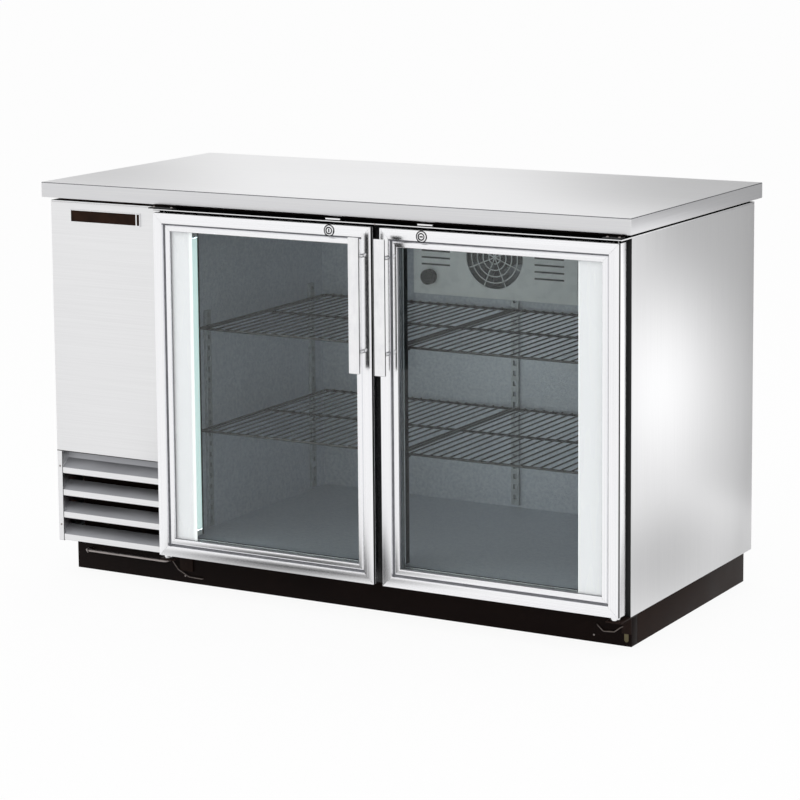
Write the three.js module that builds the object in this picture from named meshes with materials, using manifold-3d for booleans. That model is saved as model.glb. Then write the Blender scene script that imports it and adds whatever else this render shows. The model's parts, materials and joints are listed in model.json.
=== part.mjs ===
// Under counter refrigerator with two glass doors, a louvred grille and its condensing unit at the left.
// Millimetres, +Z up, the front faces -Y. The origin is on the floor, midway between the counter's ends
// and midway between the handles' faces and the counter's back edge.
import * as THREE from "three";
import { mergeVertices } from "three/addons/utils/BufferGeometryUtils.js";
import Module from "manifold-3d";

const wasm = await Module();
wasm.setup();

// Driving dimensions of the cabinet
const overallHeight = 925;
const counter = { width: 1496, depth: 705, thickness: 35.5, bearerInset: 30, bearerHeight: 7.5 };
const cabinet = { sideInset: 13, frontInset: 34, backInset: 15, wall: 44, sheet: 1.5 };
const kick = { height: 76, frontInset: 70, sideInset: 28, backInset: 23, sheet: 3, flange: 30 };
const machineWidth = 308;
const deckSheet = 3;
const linerSheet = 1.2;
const breakerSheet = 2;
const mullion = { width: 66, depth: 30 };

// Driving dimensions of the doors and what they carry
const door = {
  stand: 19, // front face ahead of the counter's edge
  thickness: 35.5,
  sideInset: 5, // right door's edge, in from the body's side
  machineGap: 3, // between the left door and the machine compartment
  middleGap: 22,
  topGap: 5.5,
  bottomGap: 9,
  frameWidth: 23,
  lipWidth: 40.5,
  lipDepth: 3,
};
const bead = { noseInset: 29, noseSink: 4.4, stepSink: 9, depth: 11 };
const glassEdgeGap = 2;
const gasket = { inset: 14, width: 15 };
const hinge = {
  inset: 14,
  pinRadius: 6,
  pinReach: 14,
  plate: 4,
  plateHalfWidth: 18,
  nose: 12,
  collarRadius: 10,
};
const hingeFoot = { height: 48, sheet: 3 };
const handle = {
  width: 26,
  depth: 6,
  height: 297,
  postLength: 34,
  postRadius: 6,
  postInset: 43,
  topDrop: 18.5,
  edgeInset: 21,
};
const lock = { edgeInset: 103.5, topDrop: 13, radius: 9.5, rimRadius: 11, rimDepth: 1.5 };
const cam = { reach: 23, halfWidth: 5, thickness: 3, depth: 24, pocketSide: 1.5 };
const strike = { width: 37, depth: 6, height: 3.5, frontInset: 15 };
const lamp = {
  flangeInset: 30,
  inset: 46,
  width: 35,
  depth: 28,
  sheet: 1.5,
  endInset: 45,
  capHeight: 12,
  tubeRadius: 8,
};

// Driving dimensions of the machine compartment's front
const panel = { frontInset: 18.5, sheet: 1.5 };
const nameplate = { inset: 57, topDrop: 15.5, width: 195, height: 30, thickness: 4 };
const grille = {
  height: 215,
  depth: 30,
  postWidth: 14,
  sheet: 1.5,
  bottomGap: 2,
  lipHeight: 14,
  bladeDepth: 25,
  bladeRise: 20,
};
const bladeCount = 4;
const kickBar = { inset: 50, endGap: 21, radius: 3, stand: 22, height: 51 };

// Driving dimensions of the inside
const shelf = { rim: 6, wire: 4, wirePitch: 25, sideGap: 3, frontGap: 3, coverGap: 43.5 };
const shelfLevels = 2;
const pilaster = {
  width: 20,
  depth: 8,
  inset: 60,
  floorGap: 6,
  topGap: 6,
  ledgeReach: 16,
  ledgeHeight: 4,
};
const evaporator = { width: 430, depth: 110, height: 194, sheet: 1.5, holeRadius: 75 };
const evaporatorCoil = { inset: 12, width: 95, frontGap: 18, topGap: 16 };
const evaporatorFan = { radius: 68, hubRadius: 16, depth: 20, bladeWidth: 32, frontGap: 6 };
const evaporatorMotor = { radius: 30, length: 42, bracketWidth: 24 };
const knob = { radius: 18, depth: 16, spindleRadius: 3, inset: 45, height: 42, pointer: 3 };

// Driving dimensions of the condensing unit
const tray = { frontGap: 3, sideGap: 3, backGap: 12, sheet: 3, lipHeight: 20 };
const condenser = { inset: 26, frontGap: 12, depth: 60, height: 210 };
const shroud = { sheet: 4, ringDepth: 30, ringWall: 3, holeRadius: 96 };
const condenserFan = { radius: 88, hubRadius: 20, depth: 22, bladeWidth: 38, gap: 5 };
const condenserMotor = { radius: 38, length: 60, bracketWidth: 40, bracketDepth: 24 };
const shaft = { radius: 4, gap: 6 };
const fanSheet = 2.5;
const fanBlades = 4;
const fanPitch = Math.PI / 7;
const compressor = {
  radius: 92,
  height: 220,
  plateWidth: 200,
  plateDepth: 190,
  plate: 4,
  backGap: 30,
};
const electricalBox = { width: 90, depth: 100, height: 130, sideGap: 14, middleGap: 40 };
const line = { radius: 5, bend: 28, rise: 55, drierRadius: 12, drierLength: 90 };
const lineSteps = 48;
const lineSides = 8;
const inlet = { radius: 14, length: 11, boreRadius: 5, side: 95, height: 90 };
const vent = { count: 9, width: 150, height: 8, pitch: 24, bottom: 180 };

// Small allowances that every fit shares
const clearance = 0.3;
const overrun = 2;
const roundSides = 24;
const smallSides = 12;

// Places that follow from the driving dimensions
const handleReach = door.stand + handle.postLength + handle.depth;
const wholeDepth = counter.depth + handleReach;
const yCounter = handleReach - wholeDepth / 2;
const yCounterBack = wholeDepth / 2;
const yDoor = yCounter - door.stand;
const yPanel = yCounter + panel.frontInset;
const yCabinet = yCounter + cabinet.frontInset;
const yBack = yCounterBack - cabinet.backInset;
const yWallFront = yCabinet + breakerSheet;
const yWallBack = yBack - cabinet.sheet - cabinet.wall;
const yKick = yCounter + kick.frontInset;
const yKickBack = yCounterBack - kick.backInset;

const xRight = counter.width / 2 - cabinet.sideInset;
const xLeft = -xRight;
const xInnerRight = xRight - cabinet.sheet;
const xInnerLeft = -xInnerRight;
const xPartition = xLeft + machineWidth;
const xPartitionBay = xPartition + cabinet.wall;
const xWallBay = xInnerRight - cabinet.wall;
const xDoorLeft = xPartition + door.machineGap;
const xDoorRight = xRight - door.sideInset;
const doorWidth = (xDoorRight - xDoorLeft - door.middleGap) / 2;
const xMiddle = xDoorLeft + doorWidth + door.middleGap / 2;
const xKick = counter.width / 2 - kick.sideInset;

const zBody = kick.height;
const zUnderCounter = overallHeight - counter.thickness;
const zDeckTop = zUnderCounter - counter.bearerHeight;
const zBodyTop = zDeckTop - deckSheet;
const zFloor = zBody + cabinet.wall;
const zCeiling = zBodyTop - cabinet.wall;
const zDoor = zBody + door.bottomGap;
const doorHeight = zBodyTop - door.topGap - zDoor;
const zGrilleTop = zBody + grille.height;

// The cold space, measured inside its liner
const bay = {
  x: [xPartitionBay + linerSheet, xWallBay - linerSheet],
  y: [yWallFront, yWallBack - linerSheet],
  z: [zFloor + linerSheet, zCeiling - linerSheet],
};
const mullionX = [xMiddle - mullion.width / 2, xMiddle + mullion.width / 2];
const yMullionBack = yWallFront + mullion.depth;

// Plain solids

// A box between two corners, its corner values kept exactly.
function block([x0, x1], [y0, y1], [z0, z1]) {
  const geometry = new THREE.BoxGeometry(1, 1, 1);
  const points = geometry.attributes.position;
  for (let i = 0; i < points.count; i += 1) {
    points.setXYZ(
      i,
      points.getX(i) < 0 ? x0 : x1,
      points.getY(i) < 0 ? y0 : y1,
      points.getZ(i) < 0 ? z0 : z1,
    );
  }
  return geometry;
}

// A round bar from one end along an axis, named x, y or z.
function bar(radius, length, axis, [x, y, z], sides = roundSides) {
  const geometry = new THREE.CylinderGeometry(radius, radius, length, sides);
  geometry.translate(0, length / 2, 0);
  if (axis === "x") {
    geometry.rotateZ(-Math.PI / 2);
  }
  if (axis === "z") {
    geometry.rotateX(Math.PI / 2);
  }
  geometry.translate(x, y, z);
  return geometry;
}

// A turned piece from [radius, height] points, its axis along y.
function turned(points, sides = roundSides) {
  const profile = points.map(([radius, height]) => new THREE.Vector2(radius, height));
  return new THREE.LatheGeometry(profile, sides);
}

// A strip whose outline lies in the y-z plane, drawn out along x.
function drawn(outline, [x0, x1]) {
  const shape = new THREE.Shape(outline.map(([y, z]) => new THREE.Vector2(y, z)));
  const geometry = new THREE.ExtrudeGeometry(shape, { depth: x1 - x0, bevelEnabled: false });
  const turn = new THREE.Matrix4().set(0, 0, 1, x0, 1, 0, 0, 0, 0, 1, 0, 0, 0, 0, 0, 1);
  return geometry.applyMatrix4(turn);
}

// Joins and cuts

function solidOf(geometry) {
  const bare = geometry.clone();
  bare.deleteAttribute("normal");
  bare.deleteAttribute("uv");
  const closed = mergeVertices(bare);
  return new wasm.Manifold(new wasm.Mesh({
    numProp: 3,
    vertProperties: new Float32Array(closed.attributes.position.array),
    triVerts: new Uint32Array(closed.index.array),
  }));
}

function geometryOf(solid) {
  const mesh = solid.getMesh();
  const geometry = new THREE.BufferGeometry();
  geometry.setAttribute("position", new THREE.BufferAttribute(mesh.vertProperties, 3));
  geometry.setIndex(new THREE.BufferAttribute(mesh.triVerts, 1));
  return geometry;
}

function joined(...geometries) {
  return geometryOf(geometries.map(solidOf).reduce((whole, next) => whole.add(next)));
}

function cut(geometry, ...cutters) {
  return geometryOf(cutters.map(solidOf).reduce((whole, next) => whole.subtract(next), solidOf(geometry)));
}

// Materials

function finish(color, roughness, metalness) {
  return new THREE.MeshStandardMaterial({ color, roughness, metalness });
}
const brushedStainless = () => finish(0xd8d9da, 0.38, 1);
const polishedStainless = () => finish(0xe6e7e8, 0.2, 1);
const doorAluminium = () => finish(0xe2e3e4, 0.32, 1);
const galvanisedSteel = () => finish(0xa9adb0, 0.5, 1);
const blackPaint = () => finish(0x1b1718, 0.5, 0);
const blackVinyl = () => finish(0x0f0f10, 0.65, 0);
const blackWireCoat = () => finish(0x17171a, 0.4, 0);
const linerAluminium = () => finish(0x8d93a6, 0.5, 0.7);
const foamCore = () => finish(0xe4d9a8, 0.9, 0);
const whiteEnamel = () => finish(0xeef0f2, 0.35, 0);
const lampGlass = () => finish(0xf2fff4, 0.3, 0);
const clearGlass = () => {
  const glass = finish(0xd6e6e2, 0.05, 0);
  glass.transparent = true;
  glass.opacity = 0.3;
  return glass;
};
const copperTube = () => finish(0xb87348, 0.35, 1);
const greyPlastic = () => finish(0x4a4c50, 0.6, 0);

// The model and its groups

const model = new THREE.Group();

function place(name, geometry, material, parent = model) {
  const mesh = new THREE.Mesh(geometry, material);
  mesh.name = name;
  parent.add(mesh);
  return mesh;
}

// Counter, skins and insulated walls

function makeCounter() {
  const half = counter.width / 2;
  const top = block([-half, half], [yCounter, yCounterBack], [zUnderCounter, overallHeight]);
  const bearer = block(
    [-half + counter.bearerInset, half - counter.bearerInset],
    [yCounter + counter.bearerInset, yCounterBack - counter.bearerInset],
    [zDeckTop, zUnderCounter + overrun],
  );
  place("countertop", joined(top, bearer), brushedStainless());
}

function makeSkins() {
  const height = [zBody, zBodyTop];
  place("side_panel_left", block([xLeft, xInnerLeft], [yCabinet, yBack], height), brushedStainless());
  place("side_panel_right", block([xInnerRight, xRight], [yCabinet, yBack], height), brushedStainless());
  const sheet = block([xInnerLeft, xInnerRight], [yBack - cabinet.sheet, yBack], height);
  const ventMiddle = (xInnerLeft + xPartition) / 2;
  const slots = Array.from({ length: vent.count }, (_, i) => block(
    [ventMiddle - vent.width / 2, ventMiddle + vent.width / 2],
    [yBack - cabinet.sheet - overrun, yBack + overrun],
    [zBody + vent.bottom + i * vent.pitch, zBody + vent.bottom + i * vent.pitch + vent.height],
  ));
  place("back_panel", cut(sheet, ...slots), galvanisedSteel());
}

function makeWalls() {
  const depth = [yWallFront, yBack - cabinet.sheet];
  const width = [xPartition, xInnerRight];
  place("insulation_floor", block(width, depth, [zBody, zFloor]), foamCore());
  place("insulation_roof", block(width, depth, [zCeiling, zBodyTop]), foamCore());
  place("insulation_right", block([xWallBay, xInnerRight], depth, [zFloor, zCeiling]), foamCore());
  place("insulation_partition", block([xPartition, xPartitionBay], depth, [zFloor, zCeiling]), foamCore());
  const back = block([xPartitionBay, xWallBay], [yWallBack, yBack - cabinet.sheet], [zFloor, zCeiling]);
  place("insulation_back", back, foamCore());
}

function makeLiner() {
  const shell = block([xPartitionBay, xWallBay], [yWallFront, yWallBack], [zFloor, zCeiling]);
  const hollow = block(bay.x, [yWallFront - overrun, bay.y[1]], bay.z);
  place("inner_liner", cut(shell, hollow), linerAluminium());
}

function makeBreaker() {
  const plate = block([xPartition, xInnerRight], [yCabinet, yWallFront], [zBody, zBodyTop]);
  const through = [yCabinet - overrun, yWallFront + overrun];
  const leftWindow = block([bay.x[0], mullionX[0]], through, bay.z);
  const rightWindow = block([mullionX[1], bay.x[1]], through, bay.z);
  place("front_breaker", cut(plate, leftWindow, rightWindow), blackVinyl());
}

// Deck over the body, reaching over the doors with their top pins and the locks' strikes

const hingeX = [xDoorLeft + hinge.inset, xDoorRight - hinge.inset];
const yHinge = yDoor + door.thickness / 2;
const lockX = [xDoorLeft + doorWidth - lock.edgeInset, xDoorRight - doorWidth + lock.edgeInset];
const camY = [yDoor + cam.depth - cam.pocketSide, yDoor + cam.depth + cam.thickness + cam.pocketSide];

function makeDeck() {
  const deck = block([xLeft, xRight], [yPanel, yBack], [zBodyTop, zDeckTop]);
  const tongue = block([xDoorLeft, xRight], [yDoor, yPanel + overrun], [zBodyTop, zDeckTop]);
  const pins = hingeX.map((x) => bar(
    hinge.pinRadius, hinge.pinReach + door.topGap + overrun, "z",
    [x, yHinge, zBodyTop - door.topGap - hinge.pinReach],
  ));
  const strikes = lockX.map((x) => block(
    [x - strike.width / 2, x + strike.width / 2],
    [yDoor + strike.frontInset, yDoor + strike.frontInset + strike.depth],
    [zDeckTop - overrun, zDeckTop + strike.height],
  ));
  const slots = lockX.map((x) => block(
    [x - cam.halfWidth - cam.pocketSide, x + cam.reach],
    camY,
    [zBodyTop - overrun, zDeckTop + overrun],
  ));
  place("top_deck", cut(joined(deck, tongue, ...pins, ...strikes), ...slots), polishedStainless());
}

// Front of the machine compartment

function makeFrontPanel() {
  const outer = block([xLeft, xPartition], [yPanel, yCabinet], [zGrilleTop, zBodyTop]);
  const inner = block(
    [xLeft + panel.sheet, xPartition - panel.sheet],
    [yPanel + panel.sheet, yCabinet + overrun],
    [zGrilleTop + panel.sheet, zBodyTop - panel.sheet],
  );
  place("front_panel", cut(outer, inner), brushedStainless());
  const left = xLeft + nameplate.inset;
  const top = zBodyTop - nameplate.topDrop;
  const plate = block(
    [left, left + nameplate.width],
    [yPanel - nameplate.thickness, yPanel],
    [top - nameplate.height, top],
  );
  place("nameplate", plate, blackVinyl());
}

// The left post is a channel: a return along the body's side, a front flange and a web for the blades.
function grillePost() {
  const height = [zBody, zGrilleTop];
  const web = xLeft + grille.postWidth;
  return [
    block([xLeft, xLeft + grille.sheet], [yPanel, yCabinet], height),
    block([xLeft, web], [yPanel, yPanel + grille.sheet], height),
    block([web - grille.sheet, web], [yPanel, yPanel + grille.depth], height),
  ];
}

const bladeX = [xLeft + grille.postWidth - grille.sheet / 2, xPartition - grille.sheet / 2];
const yBladeBack = yPanel + grille.sheet + grille.bladeDepth;

// A blade is an upright lip with a sheet that climbs away behind it.
function grilleBlade(z) {
  const lipBack = yPanel + grille.sheet;
  const outline = [
    [yPanel, z],
    [lipBack, z],
    [lipBack, z + grille.lipHeight - grille.sheet],
    [yBladeBack, z + grille.lipHeight - grille.sheet + grille.bladeRise],
    [yBladeBack, z + grille.lipHeight + grille.bladeRise],
    [yPanel, z + grille.lipHeight],
  ];
  return drawn(outline, bladeX);
}

// The right post is one sheet that the blades run up to, and a baffle closes the gap over the top blade.
function makeGrille() {
  const pitch = (grille.height - grille.bottomGap) / bladeCount;
  const bladeZ = Array.from({ length: bladeCount }, (_, i) => zBody + grille.bottomGap + i * pitch);
  const blades = bladeZ.map(grilleBlade);
  const rightPost = block([xPartition - grille.sheet, xPartition], [yPanel, yBladeBack], [zBody, zGrilleTop]);
  const zBaffle = Math.max(...bladeZ) + grille.lipHeight + grille.bladeRise - grille.sheet;
  const baffle = block(bladeX, [yBladeBack - grille.sheet, yBladeBack], [zBaffle, zGrilleTop]);
  place("louvre_grille", joined(...grillePost(), rightPost, baffle, ...blades), brushedStainless());
}

// Base and what stands on its front

function makeBase() {
  const { flange, sheet } = kick;
  const beam = block([-xKick, xKick], [yKick, yKick + flange], [0, zBody]);
  const trough = block(
    [-xKick + sheet, xKick - sheet],
    [yKick + sheet, yKick + flange + overrun],
    [sheet, zBody - sheet],
  );
  place("base_front", cut(beam, trough), blackPaint());
  const outer = block([-xKick, xKick], [yKick + flange, yKickBack], [0, zBody]);
  const middle = block(
    [-xKick + sheet, xKick - sheet],
    [yKick, yKickBack - sheet],
    [sheet, zBody - sheet],
  );
  const well = block(
    [-xKick + flange, xKick - flange],
    [yKick, yKickBack - flange],
    [-overrun, zBody + overrun],
  );
  place("base_frame", cut(outer, middle, well), blackPaint());
}

function makeKickBar() {
  const y = yKick - kickBar.stand;
  const from = xLeft + kickBar.inset;
  const to = xPartition - kickBar.endGap;
  const rod = bar(kickBar.radius, to - from, "x", [from, y, kickBar.height], smallSides);
  const stub = (x) => bar(kickBar.radius, kickBar.stand, "y", [x, y, kickBar.height], smallSides);
  const bent = joined(rod, stub(from + kickBar.radius), stub(to - kickBar.radius));
  place("kick_bar", bent, polishedStainless());
}

// A foot plate on the base, a plate under the door's corner and the pin that the door turns on.
function makeHingeBracket(side, x) {
  const across = [x - hinge.plateHalfWidth, x + hinge.plateHalfWidth];
  const onBase = [across[0], Math.min(across[1], xKick)];
  const foot = block(onBase, [yKick - hingeFoot.sheet, yKick], [zBody - hingeFoot.height, zBody]);
  const plate = block(across, [yHinge - hinge.nose, yKick], [zBody - hinge.plate, zBody]);
  const collarHeight = door.bottomGap - clearance + overrun;
  const collar = bar(hinge.collarRadius, collarHeight, "z", [x, yHinge, zBody - overrun]);
  const pin = bar(hinge.pinRadius, door.bottomGap + hinge.pinReach, "z", [x, yHinge, zBody]);
  place(`hinge_bracket_${side}`, joined(foot, plate, collar, pin), blackPaint());
}

// Doors: each is a group at its hinge axis, drawn from its hinge edge towards its free edge

function makeDoor(side, x, direction) {
  const group = new THREE.Group();
  group.position.set(x, yHinge, zDoor);
  model.add(group);
  const across = (from, to) => [
    direction * (from - hinge.inset),
    direction * (to - hinge.inset),
  ].sort((a, b) => a - b);
  const deep = (from, to) => [from - door.thickness / 2, to - door.thickness / 2];
  const ring = (inset, depth) => block(
    across(inset, doorWidth - inset),
    depth,
    [inset, doorHeight - inset],
  );
  const put = (name, geometry, material) => place(`${name}_${side}`, geometry, material, group);

  // Frame with its rear lip, pin holes, lock hole and cam pocket
  const lockAt = direction * (doorWidth - lock.edgeInset - hinge.inset);
  const lockZ = doorHeight - lock.topDrop;
  const lipFront = door.thickness - door.lipDepth;
  const pinHole = (from, to) => bar(hinge.pinRadius + clearance, to - from, "z", [0, 0, from]);
  const camBack = cam.depth + cam.thickness;
  const lockHole = bar(
    lock.radius + clearance, camBack + cam.pocketSide + overrun, "y",
    [lockAt, -door.thickness / 2 - overrun, lockZ],
  );
  const camPocket = block(
    [lockAt - cam.halfWidth - cam.pocketSide, lockAt + cam.reach + cam.pocketSide],
    deep(cam.depth - cam.pocketSide, camBack + cam.pocketSide),
    [lockZ - cam.halfWidth - cam.pocketSide, doorHeight + overrun],
  );
  const frame = cut(
    ring(0, deep(0, door.thickness)),
    ring(door.frameWidth, deep(-overrun, lipFront)),
    ring(door.lipWidth, deep(-overrun, door.thickness + overrun)),
    pinHole(-overrun, hinge.pinReach + clearance),
    pinHole(doorHeight - hinge.pinReach - clearance, doorHeight + overrun),
    lockHole,
    camPocket,
  );
  put("door_frame", frame, doorAluminium());

  // Glazing bead: a nose with a groove between it and the frame
  const nose = ring(bead.noseInset, deep(bead.noseSink, bead.depth));
  const step = ring(door.frameWidth + clearance, deep(bead.stepSink, bead.depth));
  const opening = ring(door.lipWidth, deep(-overrun, bead.depth + overrun));
  put("glazing_bead", cut(joined(nose, step), opening), doorAluminium());

  // Sealed glass unit
  put("glass_unit", ring(door.frameWidth + glassEdgeGap, deep(bead.depth, lipFront)), clearGlass());

  // Gasket on the frame's back
  const sealDepth = cabinet.frontInset + door.stand - door.thickness - clearance;
  const seal = cut(
    ring(gasket.inset, deep(door.thickness, door.thickness + sealDepth)),
    ring(gasket.inset + gasket.width, deep(door.thickness - overrun, door.thickness + sealDepth + overrun)),
  );
  put("door_gasket", seal, blackVinyl());

  // Lamp: a channel open to the glass, with end caps that hold the tube
  const lampHeight = [lamp.endInset, doorHeight - lamp.endInset];
  const lampBack = door.thickness + lamp.depth;
  const lampFree = lamp.inset + lamp.width;
  const lampCavity = block(
    across(lamp.inset + lamp.sheet, lampFree + overrun),
    deep(door.thickness + lamp.sheet, lampBack - lamp.sheet),
    [lampHeight[0] + lamp.capHeight, lampHeight[1] - lamp.capHeight],
  );
  const lampBody = block(across(lamp.inset, lampFree), deep(door.thickness, lampBack), lampHeight);
  const lampFlange = block(
    across(lamp.flangeInset, lamp.inset + overrun),
    deep(door.thickness, door.thickness + lamp.sheet),
    lampHeight,
  );
  put("lamp_housing", cut(joined(lampBody, lampFlange), lampCavity), whiteEnamel());
  const tubeAt = direction * (lamp.inset + lamp.width / 2 - hinge.inset);
  const tubeDepth = (door.thickness + lamp.depth) / 2;
  const tube = bar(
    lamp.tubeRadius, lampHeight[1] - lampHeight[0] - lamp.capHeight * 2, "z",
    [tubeAt, tubeDepth, lampHeight[0] + lamp.capHeight], smallSides,
  );
  put("lamp_tube", tube, lampGlass());

  // Pull handle: a flat bar on two posts
  const top = doorHeight - handle.topDrop;
  const middle = doorWidth - handle.edgeInset;
  const grip = block(
    across(middle - handle.width / 2, middle + handle.width / 2),
    deep(-handle.postLength - handle.depth, -handle.postLength),
    [top - handle.height, top],
  );
  const post = (z) => bar(
    handle.postRadius, handle.postLength + overrun, "y",
    [direction * (middle - hinge.inset), -door.thickness / 2 - handle.postLength - overrun, z],
  );
  const posts = [post(top - handle.postInset), post(top - handle.height + handle.postInset)];
  put("door_handle", joined(grip, ...posts), polishedStainless());

  // Lock barrel with its rim and cam, a group of its own because it turns
  const lockGroup = new THREE.Group();
  lockGroup.position.set(lockAt, -door.thickness / 2, lockZ);
  group.add(lockGroup);
  const barrel = bar(lock.radius, camBack + lock.rimDepth, "y", [0, -lock.rimDepth, 0]);
  const rim = bar(lock.rimRadius, lock.rimDepth, "y", [0, -lock.rimDepth - clearance, 0]);
  const arm = block(
    [-cam.halfWidth, cam.reach],
    [cam.depth, camBack],
    [-cam.halfWidth, cam.halfWidth],
  );
  place(`lock_${side}`, joined(barrel, rim, arm), polishedStainless(), lockGroup);
}

// Inside the cold space

const zCover = bay.z[1] - evaporator.height;
const shelfStep = (zCover - shelf.coverGap - bay.z[0]) / shelfLevels;
const shelfZ = Array.from({ length: shelfLevels }, (_, i) => bay.z[0] + (i + 1) * shelfStep);
const pilasterZ = [bay.z[0] + pilaster.floorGap, zCover - pilaster.topGap];

function ledges(xs, ys) {
  return shelfZ.map((z) => block(xs, ys, [z - pilaster.ledgeHeight, z]));
}

function makeMullion() {
  const post = block(mullionX, [yWallFront, yMullionBack], bay.z);
  const half = pilaster.width / 2;
  const strip = block(
    [xMiddle - half, xMiddle + half],
    [yMullionBack - overrun, yMullionBack + pilaster.depth],
    pilasterZ,
  );
  const reach = half + pilaster.ledgeReach;
  const rests = ledges(
    [xMiddle - reach, xMiddle + reach],
    [yMullionBack + pilaster.depth - overrun, yMullionBack + pilaster.depth + pilaster.ledgeReach],
  );
  place("centre_mullion", joined(post, strip, ...rests), blackVinyl());
}

function makePilasters() {
  const half = pilaster.width / 2;
  const wallStrip = (wall, direction, y) => {
    const span = (from, to) => [wall + direction * from, wall + direction * to].sort((a, b) => a - b);
    const strip = block(span(0, pilaster.depth), [y - half, y + half], pilasterZ);
    const reach = pilaster.depth + pilaster.ledgeReach;
    return joined(strip, ...ledges(span(pilaster.depth - overrun, reach), [y - half, y + half]));
  };
  const front = yMullionBack + pilaster.inset;
  const back = bay.y[1] - pilaster.inset;
  place("pilaster_left_front", wallStrip(bay.x[0], 1, front), galvanisedSteel());
  place("pilaster_left_back", wallStrip(bay.x[0], 1, back), galvanisedSteel());
  place("pilaster_right_front", wallStrip(bay.x[1], -1, front), galvanisedSteel());
  place("pilaster_right_back", wallStrip(bay.x[1], -1, back), galvanisedSteel());
  const reach = half + pilaster.ledgeReach;
  const strip = block([xMiddle - half, xMiddle + half], [bay.y[1] - pilaster.depth, bay.y[1]], pilasterZ);
  const rests = ledges(
    [xMiddle - reach, xMiddle + reach],
    [bay.y[1] - pilaster.depth - pilaster.ledgeReach, bay.y[1] - pilaster.depth + overrun],
  );
  place("pilaster_centre_back", joined(strip, ...rests), galvanisedSteel());
}

// A shelf is a rim of bars with wires running from front to back over it.
function makeShelf(name, [x0, x1], z) {
  const y0 = yMullionBack + pilaster.depth + shelf.frontGap;
  const y1 = bay.y[1] - pilaster.depth - shelf.frontGap;
  const { rim, wire } = shelf;
  const height = [z, z + rim];
  const middle = (y0 + y1) / 2;
  const bars = [y0, middle - rim / 2, y1 - rim].map((y) => block([x0, x1], [y, y + rim], height));
  const sides = [x0, x1 - rim].map((x) => block([x, x + rim], [y0, y1], height));
  const spaces = Math.max(2, Math.round((x1 - x0 - rim) / shelf.wirePitch));
  const pitch = (x1 - x0 - rim) / spaces;
  const wires = Array.from({ length: spaces - 1 }, (_, i) => {
    const x = x0 + rim / 2 + (i + 1) * pitch;
    return block([x - wire / 2, x + wire / 2], [y0, y1], [z + rim - wire / 2, z + rim + wire / 2]);
  });
  place(name, joined(...bars, ...sides, ...wires), blackWireCoat());
}

function makeShelves() {
  const leftBay = [bay.x[0] + pilaster.depth + shelf.sideGap, xMiddle - shelf.sideGap];
  const rightBay = [xMiddle + shelf.sideGap, bay.x[1] - pilaster.depth - shelf.sideGap];
  const levels = ["lower", "upper"];
  shelfZ.forEach((z, i) => {
    makeShelf(`shelf_left_${levels[i] ?? i}`, leftBay, z);
    makeShelf(`shelf_right_${levels[i] ?? i}`, rightBay, z);
  });
}

// Evaporator at the top of the back wall

const coverX = [xMiddle - evaporator.width / 2, xMiddle + evaporator.width / 2];
const coverY = [bay.y[1] - evaporator.depth, bay.y[1]];
const fanZ = zCover + evaporator.height / 2;
const knobAt = [coverX[0] + knob.inset, coverY[0], zCover + knob.height];

function makeEvaporator() {
  const { sheet } = evaporator;
  const shell = block(coverX, coverY, [zCover, bay.z[1]]);
  const hollow = block(
    [coverX[0] + sheet, coverX[1] - sheet],
    [coverY[0] + sheet, coverY[1] + overrun],
    [zCover + sheet, bay.z[1] + overrun],
  );
  const mouth = bar(evaporator.holeRadius, sheet + overrun * 2, "y", [xMiddle, coverY[0] - overrun, fanZ]);
  const spindleHole = bar(
    knob.spindleRadius + clearance, sheet + overrun * 2, "y",
    [knobAt[0], knobAt[1] - overrun, knobAt[2]],
  );
  place("evaporator_cover", cut(shell, hollow, mouth, spindleHole), whiteEnamel());
  const coilRight = coverX[1] - evaporatorCoil.inset;
  const coil = block(
    [coilRight - evaporatorCoil.width, coilRight],
    [coverY[0] + evaporatorCoil.frontGap, coverY[1]],
    [zCover + sheet, bay.z[1] - evaporatorCoil.topGap],
  );
  place("evaporator_coil", coil, linerAluminium());
  const fanBack = coverY[0] + sheet + evaporatorFan.frontGap + evaporatorFan.depth;
  makeFan("evaporator_fan", evaporatorFan, [xMiddle, fanBack - evaporatorFan.depth, fanZ]);
  const motorFront = fanBack + shaft.gap;
  const body = bar(evaporatorMotor.radius, evaporatorMotor.length, "y", [xMiddle, motorFront, fanZ]);
  const spindle = bar(shaft.radius, shaft.gap + evaporatorFan.depth / 2, "y",
    [xMiddle, motorFront - shaft.gap - evaporatorFan.depth / 2 + overrun, fanZ]);
  const halfArm = evaporatorMotor.bracketWidth / 2;
  const arm = block(
    [xMiddle - halfArm, xMiddle + halfArm],
    [motorFront + evaporatorMotor.length - overrun, coverY[1]],
    [fanZ - halfArm, fanZ + halfArm],
  );
  place("evaporator_motor", joined(body, spindle, arm), greyPlastic());
}

// A fan whose blades are pitched about their own length; its hub has a blind hole for the motor's shaft.
function makeFan(name, fan, centre) {
  const group = new THREE.Group();
  group.position.set(...centre);
  model.add(group);
  const bore = shaft.radius + clearance;
  const hub = turned([
    [0, 0],
    [fan.hubRadius, 0],
    [fan.hubRadius, fan.depth],
    [bore, fan.depth],
    [bore, fan.depth / 2],
    [0, fan.depth / 2],
  ]);
  const root = (fan.hubRadius + bore) / 2;
  const blades = Array.from({ length: fanBlades }, (_, i) => {
    const blade = block(
      [-fan.bladeWidth / 2, fan.bladeWidth / 2],
      [-fanSheet / 2, fanSheet / 2],
      [root, fan.radius],
    );
    blade.rotateZ(fanPitch);
    blade.translate(0, fan.depth / 2, 0);
    blade.rotateY((i * Math.PI * 2) / fanBlades);
    return blade;
  });
  place(name, joined(hub, ...blades), greyPlastic(), group);
}

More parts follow.
